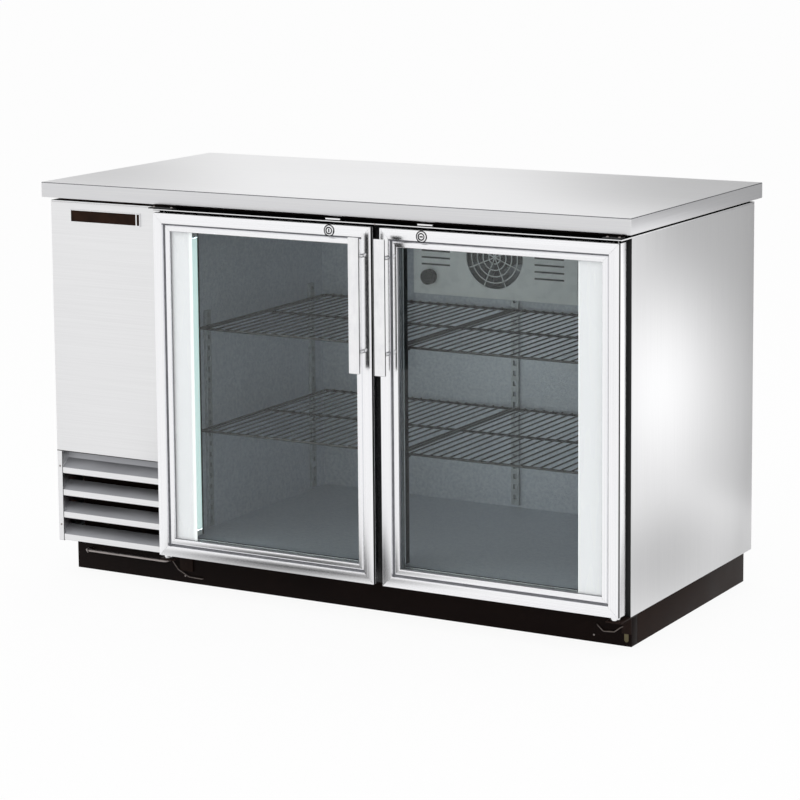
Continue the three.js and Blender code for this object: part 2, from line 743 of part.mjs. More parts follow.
function makeKnob() {
  const group = new THREE.Group();
  group.position.set(...knobAt);
  model.add(group);
  const cap = bar(knob.radius, knob.depth, "y", [0, -knob.depth - clearance, 0]);
  const spindle = bar(
    knob.spindleRadius, clearance + evaporator.sheet + overrun * 2, "y",
    [0, -clearance - overrun, 0],
  );
  const pointer = block(
    [-knob.pointer / 2, knob.pointer / 2],
    [-knob.depth - clearance - knob.pointer / 2, -knob.depth],
    [0, knob.radius],
  );
  place("thermostat_knob", joined(cap, spindle, pointer), blackVinyl(), group);
}

// Condensing unit on its tray, behind the grille

const trayX = [xInnerLeft + tray.sideGap, xPartition - tray.sideGap];
const trayY = [yPanel + grille.depth + tray.frontGap, yKickBack - tray.backGap];
const zTray = zBody + tray.sheet;
const condenserX = [trayX[0] + condenser.inset, trayX[1] - condenser.inset];
const condenserY = [trayY[0] + condenser.frontGap, trayY[0] + condenser.frontGap + condenser.depth];
const xUnit = (condenserX[0] + condenserX[1]) / 2;
const zUnit = zTray + condenser.height / 2;
const yCompressor = trayY[1] - compressor.backGap - compressor.plateDepth / 2;

function makeTray() {
  const outer = block(trayX, trayY, [zBody, zBody + tray.lipHeight]);
  const inner = block(
    [trayX[0] + tray.sheet, trayX[1] - tray.sheet],
    [trayY[0] + tray.sheet, trayY[1] - tray.sheet],
    [zTray, zBody + tray.lipHeight + overrun],
  );
  place("unit_tray", cut(outer, inner), galvanisedSteel());
}

function makeCondenser() {
  const height = [zTray, zTray + condenser.height];
  place("condenser_coil", block(condenserX, condenserY, height), blackPaint());
  const back = condenserY[1] + shroud.sheet;
  const plate = block(condenserX, [condenserY[1], back], height);
  const ringRadius = shroud.holeRadius + shroud.ringWall;
  const ring = bar(ringRadius, shroud.ringDepth, "y", [xUnit, condenserY[1], zUnit]);
  const hole = bar(
    shroud.holeRadius, shroud.ringDepth + overrun * 2, "y",
    [xUnit, condenserY[1] - overrun, zUnit],
  );
  place("fan_shroud", cut(joined(plate, ring), hole), blackPaint());
  const fanFront = back + condenserFan.gap;
  makeFan("condenser_fan", condenserFan, [xUnit, fanFront, zUnit]);
  const motorFront = fanFront + condenserFan.depth + shaft.gap;
  const body = bar(condenserMotor.radius, condenserMotor.length, "y", [xUnit, motorFront, zUnit]);
  const spindle = bar(shaft.radius, shaft.gap + condenserFan.depth / 2, "y",
    [xUnit, motorFront - shaft.gap - condenserFan.depth / 2 + overrun, zUnit]);
  const halfWidth = condenserMotor.bracketWidth / 2;
  const middle = motorFront + condenserMotor.length / 2;
  const stand = block(
    [xUnit - halfWidth, xUnit + halfWidth],
    [middle - condenserMotor.bracketDepth / 2, middle + condenserMotor.bracketDepth / 2],
    [zTray, zUnit],
  );
  place("condenser_motor", joined(body, spindle, stand), greyPlastic());
}

function makeCompressor() {
  const { radius, height, plate } = compressor;
  const waistShare = 0.86;
  const shoulderShare = 0.8;
  const crownShare = 0.55;
  const shell = turned([
    [0, 0],
    [radius * waistShare, 0],
    [radius, height * (1 - shoulderShare)],
    [radius, height * shoulderShare],
    [radius * crownShare, height],
    [0, height],
  ]);
  shell.rotateX(Math.PI / 2);
  shell.translate(xUnit, yCompressor, zTray + plate / 2);
  const halfWidth = compressor.plateWidth / 2;
  const halfDepth = compressor.plateDepth / 2;
  const foot = block(
    [xUnit - halfWidth, xUnit + halfWidth],
    [yCompressor - halfDepth, yCompressor + halfDepth],
    [zTray, zTray + plate],
  );
  place("compressor", joined(shell, foot), blackPaint());
}

function makeElectricalBox() {
  const left = trayX[0] + electricalBox.sideGap;
  const back = yCompressor - compressor.plateDepth / 2 - electricalBox.middleGap;
  const box = block(
    [left, left + electricalBox.width],
    [back - electricalBox.depth, back],
    [zTray, zTray + electricalBox.height],
  );
  place("electrical_box", box, galvanisedSteel());
}

// The refrigerant line climbs from the compressor, runs forward over the fan and drops onto the condenser.
function makeLine() {
  const zStart = zTray + compressor.plate / 2 + compressor.height + clearance;
  const zEnd = zTray + condenser.height + clearance;
  const zRun = Math.max(zStart, zEnd) + line.rise;
  const yStart = yCompressor;
  const yEnd = (condenserY[0] + condenserY[1]) / 2;
  const at = (y, z) => new THREE.Vector3(xUnit, y, z);
  const backTurn = [at(yStart, zRun - line.bend), at(yStart, zRun), at(yStart - line.bend, zRun)];
  const frontTurn = [at(yEnd + line.bend, zRun), at(yEnd, zRun), at(yEnd, zRun - line.bend)];
  const route = new THREE.CurvePath();
  route.add(new THREE.LineCurve3(at(yStart, zStart), backTurn[0]));
  route.add(new THREE.QuadraticBezierCurve3(...backTurn));
  route.add(new THREE.LineCurve3(backTurn[2], frontTurn[0]));
  route.add(new THREE.QuadraticBezierCurve3(...frontTurn));
  route.add(new THREE.LineCurve3(frontTurn[2], at(yEnd, zEnd)));
  const section = new THREE.Shape().absarc(0, 0, line.radius, 0, Math.PI * 2);
  const pipe = new THREE.ExtrudeGeometry(section, {
    extrudePath: route,
    steps: lineSteps,
    curveSegments: lineSides / 2,
  });
  const drierFrom = (yStart + yEnd) / 2 - line.drierLength / 2;
  const drier = bar(line.drierRadius, line.drierLength, "y", [xUnit, drierFrom, zRun], smallSides);
  place("refrigerant_line", joined(pipe, drier), copperTube());
}

function makeInlet() {
  const gland = turned([
    [inlet.boreRadius, 0],
    [inlet.radius, 0],
    [inlet.radius, inlet.length / 2],
    [inlet.radius - inlet.boreRadius / 2, inlet.length],
    [inlet.boreRadius, inlet.length],
    [inlet.boreRadius, 0],
  ], smallSides);
  gland.translate(xInnerLeft + inlet.side, yBack, zBody + inlet.height);
  place("power_inlet", gland, blackVinyl());
}

makeCounter();
makeSkins();
makeWalls();
makeLiner();
makeBreaker();
makeDeck();
makeFrontPanel();
makeGrille();
makeBase();
makeKickBar();
makeHingeBracket("left", hingeX[0]);
makeHingeBracket("right", hingeX[1]);
makeDoor("left", hingeX[0], 1);
makeDoor("right", hingeX[1], -1);
makeMullion();
makePilasters();
makeShelves();
makeEvaporator();
makeKnob();
makeTray();
makeCondenser();
makeCompressor();
makeElectricalBox();
makeLine();
makeInlet();

export default model;
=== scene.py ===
# %% [markdown]
# An under counter fridge with two glass doors, dressed for a product photograph. Its construction comes in
# as a frame of solids at real size, each on the body that it moves with. This notebook adds what the eye
# sees: softened edges, metal finishes, glass, wire, lamps and small fittings, and the studio round it.
# Every length is in metres, so a millimetre is 0.001.

# %% Load the frame
import json
import math

import bmesh
import bpy
from mathutils import Matrix, Vector


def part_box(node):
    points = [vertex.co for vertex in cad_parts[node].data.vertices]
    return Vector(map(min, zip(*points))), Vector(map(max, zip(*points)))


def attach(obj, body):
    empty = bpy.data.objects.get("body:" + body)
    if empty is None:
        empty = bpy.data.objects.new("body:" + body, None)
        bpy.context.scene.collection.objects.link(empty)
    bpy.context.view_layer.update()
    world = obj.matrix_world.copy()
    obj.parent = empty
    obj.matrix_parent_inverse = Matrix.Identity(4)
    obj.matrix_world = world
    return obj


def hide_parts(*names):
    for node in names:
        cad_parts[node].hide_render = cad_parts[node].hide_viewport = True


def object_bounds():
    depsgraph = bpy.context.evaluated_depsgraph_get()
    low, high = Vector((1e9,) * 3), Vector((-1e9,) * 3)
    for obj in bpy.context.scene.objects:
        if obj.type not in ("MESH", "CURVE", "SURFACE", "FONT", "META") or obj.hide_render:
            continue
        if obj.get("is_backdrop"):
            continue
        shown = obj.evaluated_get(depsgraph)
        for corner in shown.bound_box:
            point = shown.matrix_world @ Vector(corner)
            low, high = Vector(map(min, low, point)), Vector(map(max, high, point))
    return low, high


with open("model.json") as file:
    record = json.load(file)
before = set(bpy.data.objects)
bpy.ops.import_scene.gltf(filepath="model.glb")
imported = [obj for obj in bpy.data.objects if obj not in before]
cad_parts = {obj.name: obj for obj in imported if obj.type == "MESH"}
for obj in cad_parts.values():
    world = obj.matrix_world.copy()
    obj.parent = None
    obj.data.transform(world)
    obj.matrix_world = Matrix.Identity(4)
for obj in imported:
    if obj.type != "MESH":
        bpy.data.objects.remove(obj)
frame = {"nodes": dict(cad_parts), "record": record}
cad_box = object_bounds()
nodes = frame["nodes"]
bodies = frame["record"]["behaviour"]["bodies"]
body_of = {node: body for body, members in bodies.items() for node in members}
slot_of = {node: held.data.materials[0].name for node, held in nodes.items()}
MM = 0.001
SIDES = ("left", "right")
X, Y, Z = (Vector(row) for row in Matrix.Identity(3))

# %% [markdown]
# Two kinds of helper serve the whole notebook. The first kind builds materials: a colour is written as it
# looks on a screen, in hex, and turned into the linear light that shaders count in, and one function adds
# a node with its settings and its links. Each material is kept under the finish slot that it serves, and
# the first one of a slot is also what the frame's own nodes get.

# %% Helpers for materials
material_for = {}


def linear(hex_colour):
    """The linear colour, with alpha, of an sRGB hex string such as #c0c4c8."""
    shares = [int(hex_colour[i:i + 2], 16) / 255 for i in (1, 3, 5)]
    return [s / 12.92 if s <= 0.04045 else ((s + 0.055) / 1.055) ** 2.4 for s in shares] + [1]


def fill(tree, node, inputs):
    """Fills the inputs of a node: a socket is linked, another value is set."""
    for name, value in inputs.items():
        if isinstance(value, bpy.types.NodeSocket):
            tree.links.new(value, node.inputs[name])
        else:
            node.inputs[name].default_value = value


def add_node(tree, kind, inputs=None, **settings):
    """Adds a node, sets its properties and fills its inputs."""
    made = tree.nodes.new(kind)
    for name, value in settings.items():
        setattr(made, name, value)
    fill(tree, made, inputs or {})
    return made


def new_material(name, slot=None):
    """An empty material with its Principled shader, kept under its slot."""
    material = bpy.data.materials.new(name)
    material.use_nodes = True
    material_for.setdefault(slot, material)
    tree = material.node_tree
    return material, tree, tree.nodes["Principled BSDF"]


def mix_to_output(tree, share, first, second):
    """Mixes two shaders into the surface of a material."""
    mixed = add_node(tree, "ShaderNodeMixShader", {0: share, 1: first.outputs[0], 2: second.outputs[0]})
    tree.links.new(mixed.outputs[0], tree.nodes["Material Output"].inputs["Surface"])


def noise(tree, size, detail=2.0):
    """Noise whose blotches measure size, in mm: one length, or three along the object's X, Y and Z."""
    place = add_node(tree, "ShaderNodeTexCoord").outputs["Object"]
    scale = [1 / (length * MM) for length in (size if isinstance(size, list) else [size] * 3)]
    scaled = add_node(tree, "ShaderNodeMapping", {"Vector": place, "Scale": scale}).outputs["Vector"]
    pattern = add_node(tree, "ShaderNodeTexNoise", {"Vector": scaled, "Scale": 1.0, "Detail": detail})
    return pattern.outputs["Fac"]


# Most of a noise pattern lies between these two values
NOISE_LOW, NOISE_HIGH = 0.3, 0.7


def blend_colours(tree, share, dark, light):
    """A colour that goes from dark to light over the range of most noise."""
    ramp = add_node(tree, "ShaderNodeValToRGB", {"Fac": share})
    for stop, place, colour in zip(ramp.color_ramp.elements, (NOISE_LOW, NOISE_HIGH), (dark, light)):
        stop.position = place
        stop.color = linear(colour)
    return ramp.outputs["Color"]


def between(tree, share, low, high):
    """A number that goes from low to high over the range of most noise."""
    limits = {"Value": share, "From Min": NOISE_LOW, "From Max": NOISE_HIGH, "To Min": low, "To Max": high}
    return add_node(tree, "ShaderNodeMapRange", limits).outputs["Result"]


def bumped(tree, height, depth, under=None):
    """A normal from a height pattern whose full swing is a depth in mm, over another normal or none."""
    inputs = {"Height": height, "Distance": depth * MM, "Strength": 1.0}
    if under is not None:
        inputs["Normal"] = under
    return add_node(tree, "ShaderNodeBump", inputs).outputs["Normal"]


def surface(name, slot, size, tones, rough, detail=2.0, metal=0.0, relief=0.0, swell=None, **more):
    """A finish whose tone, roughness and relief follow noise of that size.

    swell is a second relief over the first: the size of its noise, its detail and its depth.
    """
    material, tree, shader = new_material(name, slot)
    pattern = noise(tree, size, detail)
    inputs = {"Metallic": metal, **more}
    inputs["Base Color"] = blend_colours(tree, pattern, *tones)
    inputs["Roughness"] = between(tree, pattern, *rough)
    if relief:
        inputs["Normal"] = bumped(tree, pattern, relief)
    if swell:
        swell_size, swell_detail, depth = swell
        inputs["Normal"] = bumped(tree, noise(tree, swell_size, swell_detail), depth, inputs.get("Normal"))
    fill(tree, shader, inputs)
    return material


# %% [markdown]
# The second kind builds meshes: boxes, rods, bent wires and turned shapes are put together in a bmesh,
# their edges are softened, and the result becomes an object that rides on its body.

# %% Helpers for meshes
FLAT_ANGLE = math.radians(0.5)
SHARP_ANGLE = math.radians(30)
WELD = 0.02 * MM


def add_box(mesh, low, high):
    """A box between two corners."""
    low, high = Vector(low), Vector(high)
    size = Matrix.Diagonal((*(high - low), 1))
    bmesh.ops.create_cube(mesh, size=1, matrix=Matrix.Translation((low + high) / 2) @ size)


def add_rod(mesh, start, end, radius, sides, end_radius=None):
    """A round rod, or a cone if its end has another radius."""
    start, end = Vector(start), Vector(end)
    turn = (end - start).to_track_quat("Z", "Y").to_matrix().to_4x4()
    bmesh.ops.create_cone(
        mesh, cap_ends=True, segments=sides, radius1=radius, radius2=end_radius or radius,
        depth=(end - start).length, matrix=Matrix.Translation((start + end) / 2) @ turn,
    )


def add_ring(mesh, centre, across, up, wire, steps, sides):
    """A ring of short rods round a centre, through centre + across and centre + up."""
    turns = [math.tau * i / steps for i in range(steps + 1)]
    points = [centre + across * math.cos(turn) + up * math.sin(turn) for turn in turns]
    for start, end in zip(points, points[1:]):
        add_rod(mesh, start, end, wire, sides)


def rounded_route(corners, radius, steps=4):
    """The corners of a route with an arc of that radius put in at each inner one."""
    corners = [Vector(corner) for corner in corners]
    points = corners[:1]
    for before, corner, after in zip(corners, corners[1:], corners[2:]):
        back, ahead = (before - corner).normalized(), (after - corner).normalized()
        half = back.angle(ahead) / 2
        reach = radius / math.tan(half)
        centre = corner + (back + ahead).normalized() * (radius / math.sin(half))
        first = corner + back * reach - centre
        axis = first.cross(corner + ahead * reach - centre)
        for i in range(steps + 1):
            points.append(centre + Matrix.Rotation((math.pi - 2 * half) * i / steps, 3, axis) @ first)
    return points + corners[-1:]


def add_wire(mesh, route, radius, sides):
    """A round wire along a route: a disc is extruded from point to point and turned at each."""
    directions = [(b - a).normalized() for a, b in zip(route, route[1:])]
    turn = directions[0].to_track_quat("Z", "Y").to_matrix().to_4x4()
    disc = bmesh.ops.create_circle(
        mesh, cap_ends=True, segments=sides, radius=radius, matrix=Matrix.Translation(route[0]) @ turn,
    )["verts"]
    face = disc[0].link_faces[0]
    for i, direction in enumerate(directions):
        made = bmesh.ops.extrude_face_region(mesh, geom=[face])["geom"]
        moved = [part for part in made if isinstance(part, bmesh.types.BMVert)]
        old_face = face
        face = next(part for part in made if isinstance(part, bmesh.types.BMFace))
        if i > 0:
            bmesh.ops.delete(mesh, geom=[old_face], context="FACES_ONLY")
        bmesh.ops.translate(mesh, verts=moved, vec=route[i + 1] - route[i])
        if i + 1 < len(directions):
            bend = direction.rotation_difference(directions[i + 1])
            bmesh.ops.rotate(mesh, verts=moved, cent=route[i + 1], matrix=bend.to_matrix())


def add_turned(mesh, profile, centre, axis, steps=48):
    """A solid of revolution: points (radius, distance along the axis), the first and last on the axis."""
    points = [mesh.verts.new(Vector(centre) + X * radius + axis * along) for radius, along in profile]
    edges = [mesh.edges.new(pair) for pair in zip(points, points[1:])]
    bmesh.ops.spin(
        mesh, geom=points + edges, cent=centre, axis=axis, angle=math.tau, steps=steps, use_merge=True,
    )
    bmesh.ops.remove_doubles(mesh, verts=mesh.verts, dist=WELD)


def soften(mesh, radius, segments=2, edges=None):
    """Rounds the sharp edges of a mesh, or those given, as a folded sheet or a filed edge is rounded."""
    if edges is None:
        whole = [edge for edge in mesh.edges if len(edge.link_faces) == 2]
        edges = [edge for edge in whole if edge.calc_face_angle() > SHARP_ANGLE]
    bmesh.ops.bevel(
        mesh, geom=edges, offset=radius, offset_type="OFFSET", segments=segments,
        profile=0.5, affect="EDGES", material=-1, clamp_overlap=True,
    )


def copy_of(node, radius, segments=2):
    """A bmesh copy of a frame node with its flat faces made whole and its edges softened."""
    mesh = bmesh.new()
    mesh.from_mesh(nodes[node].data)
    bmesh.ops.remove_doubles(mesh, verts=mesh.verts, dist=WELD)
    bmesh.ops.dissolve_limit(mesh, angle_limit=FLAT_ANGLE, verts=mesh.verts, edges=mesh.edges)
    soften(mesh, radius, segments)
    bmesh.ops.recalc_face_normals(mesh, faces=mesh.faces)
    return mesh


def make_piece(name, mesh, materials, body="cabinet", replaced=None):
    """Turns a bmesh into an object of the fridge that rides on a body and may stand for a frame node."""
    bmesh.ops.recalc_face_normals(mesh, faces=mesh.faces)
    data = bpy.data.meshes.new(name)
    mesh.to_mesh(data)
    mesh.free()
    for material in materials:
        data.materials.append(material)
    data.shade_smooth()
    data.set_sharp_from_angle(angle=SHARP_ANGLE)
    piece = bpy.data.objects.new(name, data)
    bpy.context.scene.collection.objects.link(piece)
    if replaced:
        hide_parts(replaced)
    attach(piece, body)


def make_box(name, low, high, material, body="cabinet", replaced=None, radius=0.0, segments=2):
    """A piece that is one box, its edges softened if a radius is given."""
    mesh = bmesh.new()
    add_box(mesh, low, high)
    if radius:
        soften(mesh, radius, segments)
    make_piece(name, mesh, [material], body, replaced)


def dress(node, radius, material, segments=2):
    """Replaces a frame node by a copy of itself with softened edges and a finish."""
    make_piece(f"{node}_dressed", copy_of(node, radius, segments), [material], body_of[node], node)


def middle_of(node):
    """The middle of a frame node's box."""
    low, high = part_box(node)
    return (low + high) / 2


# %% [markdown]
# The camera stands to the right of the fridge's front, a little above the counter, and far away with a
# long lens, as in a catalogue picture. Its place, turn and focal length were solved from the cabinet's
# corners in the photograph. The lens is shifted down by a fifth of the frame, which keeps the uprights
# closer to parallel than tilting alone would.

# %% Camera
CAMERA_PLACE = Vector((3.117, -5.438, 1.660))
CAMERA_YAW = math.radians(29.66)
CAMERA_PITCH = math.radians(7.86)
CAMERA_ROLL = math.radians(-0.47)
FRAME_PIXELS = 800
FOCAL_PIXELS = 2772
SENSOR = 36
LENS_SHIFT = -0.20
scene = bpy.context.scene
camera_data = bpy.data.cameras.new("catalogue_camera")
camera_data.sensor_width = SENSOR
camera_data.lens = SENSOR * FOCAL_PIXELS / FRAME_PIXELS
camera_data.shift_y = LENS_SHIFT
camera = bpy.data.objects.new("catalogue_camera", camera_data)
scene.collection.objects.link(camera)
turn = Matrix.Rotation(CAMERA_YAW, 4, "Z") @ Matrix.Rotation(math.radians(90) - CAMERA_PITCH, 4, "X")
camera.matrix_world = Matrix.Translation(CAMERA_PLACE) @ turn @ Matrix.Rotation(CAMERA_ROLL, 4, "Z")
scene.camera = camera
scene.view_settings.view_transform = "Standard"
print("lens", round(camera_data.lens, 1), "mm")

# %% [markdown]
# The studio is a white tent. The world lights the object at a plain level, and rays that come straight
# from the camera, or off polished metal, or through glass, find it pure white. Large soft lamps give the
# light a direction: one at the front left, one at the right and a weak one overhead. They are big and
# weak, because a small strong lamp would burn a white patch into the steel.

# %% World
AMBIENT = 0.80
WHITE = linear("#ffffff")
world = bpy.data.worlds.new("white_tent")
scene.world = world
world.use_nodes = True
tent = world.node_tree
tent.nodes.clear()


def seen_directly(tree):
    """1 for rays from the camera, off gloss or through glass, and 0 for rays that light a surface."""
    path = add_node(tree, "ShaderNodeLightPath")
    share = path.outputs["Is Camera Ray"]
    for kind in ("Glossy", "Transmission"):
        other = path.outputs[f"Is {kind} Ray"]
        share = add_node(tree, "ShaderNodeMath", {0: share, 1: other}, operation="MAXIMUM").outputs[0]
    return share


lighting = add_node(tent, "ShaderNodeBackground", {"Color": WHITE, "Strength": AMBIENT})
shown = add_node(tent, "ShaderNodeBackground", {"Color": WHITE, "Strength": 1.0})
views = {0: seen_directly(tent), 1: lighting.outputs[0], 2: shown.outputs[0]}
chosen = add_node(tent, "ShaderNodeMixShader", views)
add_node(tent, "ShaderNodeOutputWorld", {"Surface": chosen.outputs[0]})

# %% Lamps
LAMPS = {
    # where it hangs, what it looks at, its size and its power
    "front_left_softbox": ((-3.2, -3.4, 3.2), (0, 0, 0.5), 3.0, 26),
    "right_softbox": ((3.8, -1.6, 2.4), (0.5, 0, 0.5), 2.4, 16),
    "overhead_softbox": ((0, 0.2, 3.6), (0, 0, 0), 3.0, 16),
}
for lamp_name, (place, target, size, power) in LAMPS.items():
    light = bpy.data.lights.new(lamp_name, "AREA")
    light.shape = "SQUARE"
    light.size = size
    light.energy = power
    holder = bpy.data.objects.new(lamp_name, light)
    scene.collection.objects.link(holder)
    turn = (Vector(target) - Vector(place)).to_track_quat("-Z", "Y").to_matrix().to_4x4()
    holder.matrix_world = Matrix.Translation(place) @ turn
    holder.visible_glossy = False
print("lamps", len(LAMPS))


# %% Floor
def add_stage_plane(name, matrix, half, material):
    """A flat rectangle of the studio, which is not part of the fridge."""
    mesh = bmesh.new()
    spread = matrix @ Matrix.Diagonal((*half, 1, 1))
    bmesh.ops.create_grid(mesh, x_segments=1, y_segments=1, size=1, matrix=spread)
    data = bpy.data.meshes.new(name)
    mesh.to_mesh(data)
    mesh.free()
    data.materials.append(material)
    made = bpy.data.objects.new(name, data)
    scene.collection.objects.link(made)
    made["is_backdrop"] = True
    return made


FLOOR_HALF = 60.0
FLOOR_GLOW = 0.92
floor_material, tree, shader = new_material("pale_floor_paint")
fill(tree, shader, {"Base Color": linear("#fafafa"), "Roughness": 0.9, "Specular IOR Level": 0.1})
glow = add_node(tree, "ShaderNodeEmission", {"Color": WHITE, "Strength": 1.0})
share = add_node(tree, "ShaderNodeMath", {0: seen_directly(tree), 1: FLOOR_GLOW}, operation="MULTIPLY")
mix_to_output(tree, share.outputs[0], shader, glow)
add_stage_plane("studio_floor", Matrix.Identity(4), (FLOOR_HALF, FLOOR_HALF), floor_material)

# %% [markdown]
# Steel has no look of its own: it shows the room, blurred. In an all white room it would be flat and
# paler than the background, so a photographer hangs grey cards where the metal mirrors them. These cards
# show in metal and glass only. Each is an ellipse that is even in its middle and fades out at its edge.

# %% Cards
CARD_CORE = 0.15
CARDS = {
    # centre, half its sides, whether it stands upright, and its glow
    # beyond the right side panel: a hot middle on a darker ground, so the panel glows at its centre
    "side_ground": ((1.1, 1.0, 0.75), (1.7, 1.6), True, 0.5),
    "side_glow": ((1.7, 0.98, 0.33), (1.05, 0.62), True, 1.42),
    # on the floor by the side panel: shades its foot
    "side_foot": ((1.0, 0.25, 0.004), (0.38, 0.75), False, 0.6),
    # behind the counter: shades the two ends of its top
    "top_right": ((0.35, 1.5, 1.25), (0.85, 0.9), True, 0.5),
    "top_left": ((-2.1, 1.5, 1.25), (0.8, 0.9), True, 0.55),
    # on the floor in front: shades the bottom rail of the left door
    "rail_foot": ((-0.22, -0.63, 0.004), (0.5, 0.38), False, 0.08),
}


def card_material(name, centre, half, glow):
    """Even light of one strength over the middle of a card, and nothing at its rim."""
    material, tree, shader = new_material(name)
    tree.nodes.remove(shader)
    place = add_node(tree, "ShaderNodeTexCoord").outputs["Object"]
    moved = add_node(tree, "ShaderNodeVectorMath", {0: place, 1: centre}, operation="SUBTRACT").outputs[0]
    scaled = add_node(tree, "ShaderNodeVectorMath", {0: moved, 1: half}, operation="DIVIDE").outputs[0]
    length = add_node(tree, "ShaderNodeVectorMath", {0: scaled}, operation="LENGTH").outputs["Value"]
    limits = {"Value": length, "From Min": CARD_CORE, "From Max": 1.0, "To Min": 1.0, "To Max": 0.0}
    share = add_node(tree, "ShaderNodeMapRange", limits, interpolation_type="SMOOTHSTEP").outputs["Result"]
    light = add_node(tree, "ShaderNodeEmission", {"Color": WHITE, "Strength": glow})
    mix_to_output(tree, share, add_node(tree, "ShaderNodeBsdfTransparent"), light)
    return material


for name, (centre, half, upright, glow) in CARDS.items():
    reach = (half[0], 1, half[1]) if upright else (*half, 1)
    turn = Matrix.Rotation(math.radians(90 if upright else 0), 4, "X")
    material = card_material(f"card_{name}", centre, reach, glow)
    made = add_stage_plane(f"card_{name}", Matrix.Translation(centre) @ turn, half, material)
    for rays in ("camera", "diffuse", "transmission", "shadow"):
        setattr(made, f"visible_{rays}", False)
print("cards", len(CARDS))

# %% [markdown]
# The outer panels, the counter and the grille are stainless steel sheet that was brushed in one direction.
# Its fine parallel scratches make reflections soft across the grain and long along it. Noise that is
# stretched along the grain gives that look. True scratches are a tenth of a millimetre apart, so these are
# drawn a few millimetres wide to show. The sizes and reliefs of all finishes are in mm.

# %% Brushed stainless steel
GRAIN_WIDTH, GRAIN_LENGTH = 2.2, 260
SHEET_WAVE = (420, 1.0, 0.06)
HAIRLINE = 0.006


def along(axis, length, width):
    """The three lengths of a pattern that is drawn out along one axis."""
    return [length if name == axis else width for name in "xyz"]


def brushed_stainless(axis, part="grain", dark="#e6e6e7", light="#ebebec"):
    """304 stainless sheet with a number 4 brushed finish, its grain along an axis: pale, soft shine."""
    return surface(
        f"brushed_stainless_{part}_{axis}", "brushed_stainless", along(axis, GRAIN_LENGTH, GRAIN_WIDTH),
        (dark, light), (0.32, 0.36), 4.0, 1.0, HAIRLINE, SHEET_WAVE,
    )


steel = {axis: brushed_stainless(axis) for axis in "xyz"}
# The counter's front face and its ends are painted a little darker, as painted shade, and its tight top fold
# is painted dark, as a painted dark reflection along the edge
apron_steel_painted_shade = brushed_stainless("x", "apron_painted_shade", "#d6d6d8", "#dcdcdd")
end_steel_painted_shade = brushed_stainless("y", "apron_end", "#d3d3d5", "#d9d9db")
fold_steel_painted_dark = brushed_stainless("x", "fold", "#6a6b6e", "#747578")

# %% [markdown]
# The deck strip, the handles and the locks are the same steel, polished until it shows a clear picture of
# the room. The sheets of the grille's blades and the baffle behind them get a grey, dull steel, which is
# painted shade, so that only their upright lips are bright. The small hardware on the base is duller still.

# %% Polished and dull metals
def clouded_metal(name, slot, cloud, tones, rough):
    """Bare or thinly plated metal with soft clouds in its tone and gloss."""
    return surface(name, slot, cloud, tones, rough, detail=3.0, metal=1.0)


# Buffed stainless: bright, with faint smears from cleaning
bright_steel = clouded_metal(
    "polished_stainless", "polished_stainless", [18, 18, 40], ("#e9e9eb", "#f3f3f4"), (0.12, 0.22),
)
# Grey steel, dull with a wide soft shine: painted shade on the grille's sloping blade sheets and its baffle
grille_steel_painted_shade = clouded_metal(
    "grey_stainless_painted_shade", "brushed_stainless", [140, 30, 30], ("#9c9da1", "#b2b3b7"), (0.5, 0.6),
)
# Stainless bar, scuffed by shoes to a pinkish grey
scuffed_steel = clouded_metal(
    "scuffed_stainless_bar", "polished_stainless", [60, 9, 9], ("#8a8280", "#b0a9a6"), (0.35, 0.5),
)
# Drawn copper with a thin oxide: salmon where it is clean, brown where it was heated for brazing
copper = clouded_metal("drawn_copper", "copper_tube", 35, ("#a0603c", "#cf8f66"), (0.24, 0.42))

# %% [markdown]
# The doors' frames and glazing beads are aluminium extrusions with a bright anodised skin, silvery white
# with faint lines along each bar. There is one for uprights and one for rails. The cold space is lined with
# thin aluminium sheet that is embossed with small pebbles; its blue grey is painted light, the tint of the
# lamps' cool light.

# %% Aluminium
EXTRUSION_LINE, EXTRUSION_LENGTH = 2.2, 700
aluminium = {
    axis: surface(
        f"anodised_aluminium_drawn_{axis}", "door_aluminium", along(axis, EXTRUSION_LENGTH, EXTRUSION_LINE),
        ("#f1f1f3", "#f8f8fa"), (0.18, 0.26), metal=1.0, relief=HAIRLINE,
    )
    for axis in "zx"
}
# Stucco embossed sheet: small pebbles that break up every reflection, in a blue grey that is painted cool
# light of the lamps
liner_painted_cool_tint = surface(
    "embossed_aluminium_liner_painted_cool_tint", "liner_aluminium", 7, ("#bac0cc", "#d0d4dc"), (0.36, 0.5), 1.0, 0.4, 0.5,
)

# %% [markdown]
# The back panel, the shelf pilasters, the drip tray and the switch box are galvanised steel, whose zinc
# freezes into dull grey flakes called spangle. A cell pattern gives each flake its own tone and gloss.

# %% Galvanised steel
SPANGLE = 9 * MM


def galvanised_steel():
    """Hot dip galvanised sheet: blue grey flakes about a centimetre across, dull beside each other."""
    material, tree, shader = new_material("galvanised_steel_spangle", "galvanised_steel")
    place = add_node(tree, "ShaderNodeTexCoord").outputs["Object"]
    cells = add_node(tree, "ShaderNodeTexVoronoi", {"Vector": place, "Scale": 1 / SPANGLE})
    tone = add_node(tree, "ShaderNodeSeparateColor", {"Color": cells.outputs["Color"]}).outputs["Red"]
    fill(tree, shader, {
        "Base Color": blend_colours(tree, tone, "#a8acb1", "#b9bdc1"),
        "Metallic": 1.0,
        "Roughness": between(tree, tone, 0.42, 0.54),
    })
    return material


zinc = galvanised_steel()
# Drawn spring wire with a film of oil: dark brown grey, so that it is hardly seen before the base
spring_steel = clouded_metal(
    "oiled_spring_steel", "galvanised_steel", 12, ("#5d5653", "#7a726e"), (0.4, 0.5),
)
# Olive passivated zinc on a pressed steel plate: dull and greenish brown
olive_zinc = clouded_metal(
    "olive_zinc_plate", "galvanised_steel", 14, ("#4c4736", "#6a634c"), (0.45, 0.55),
)

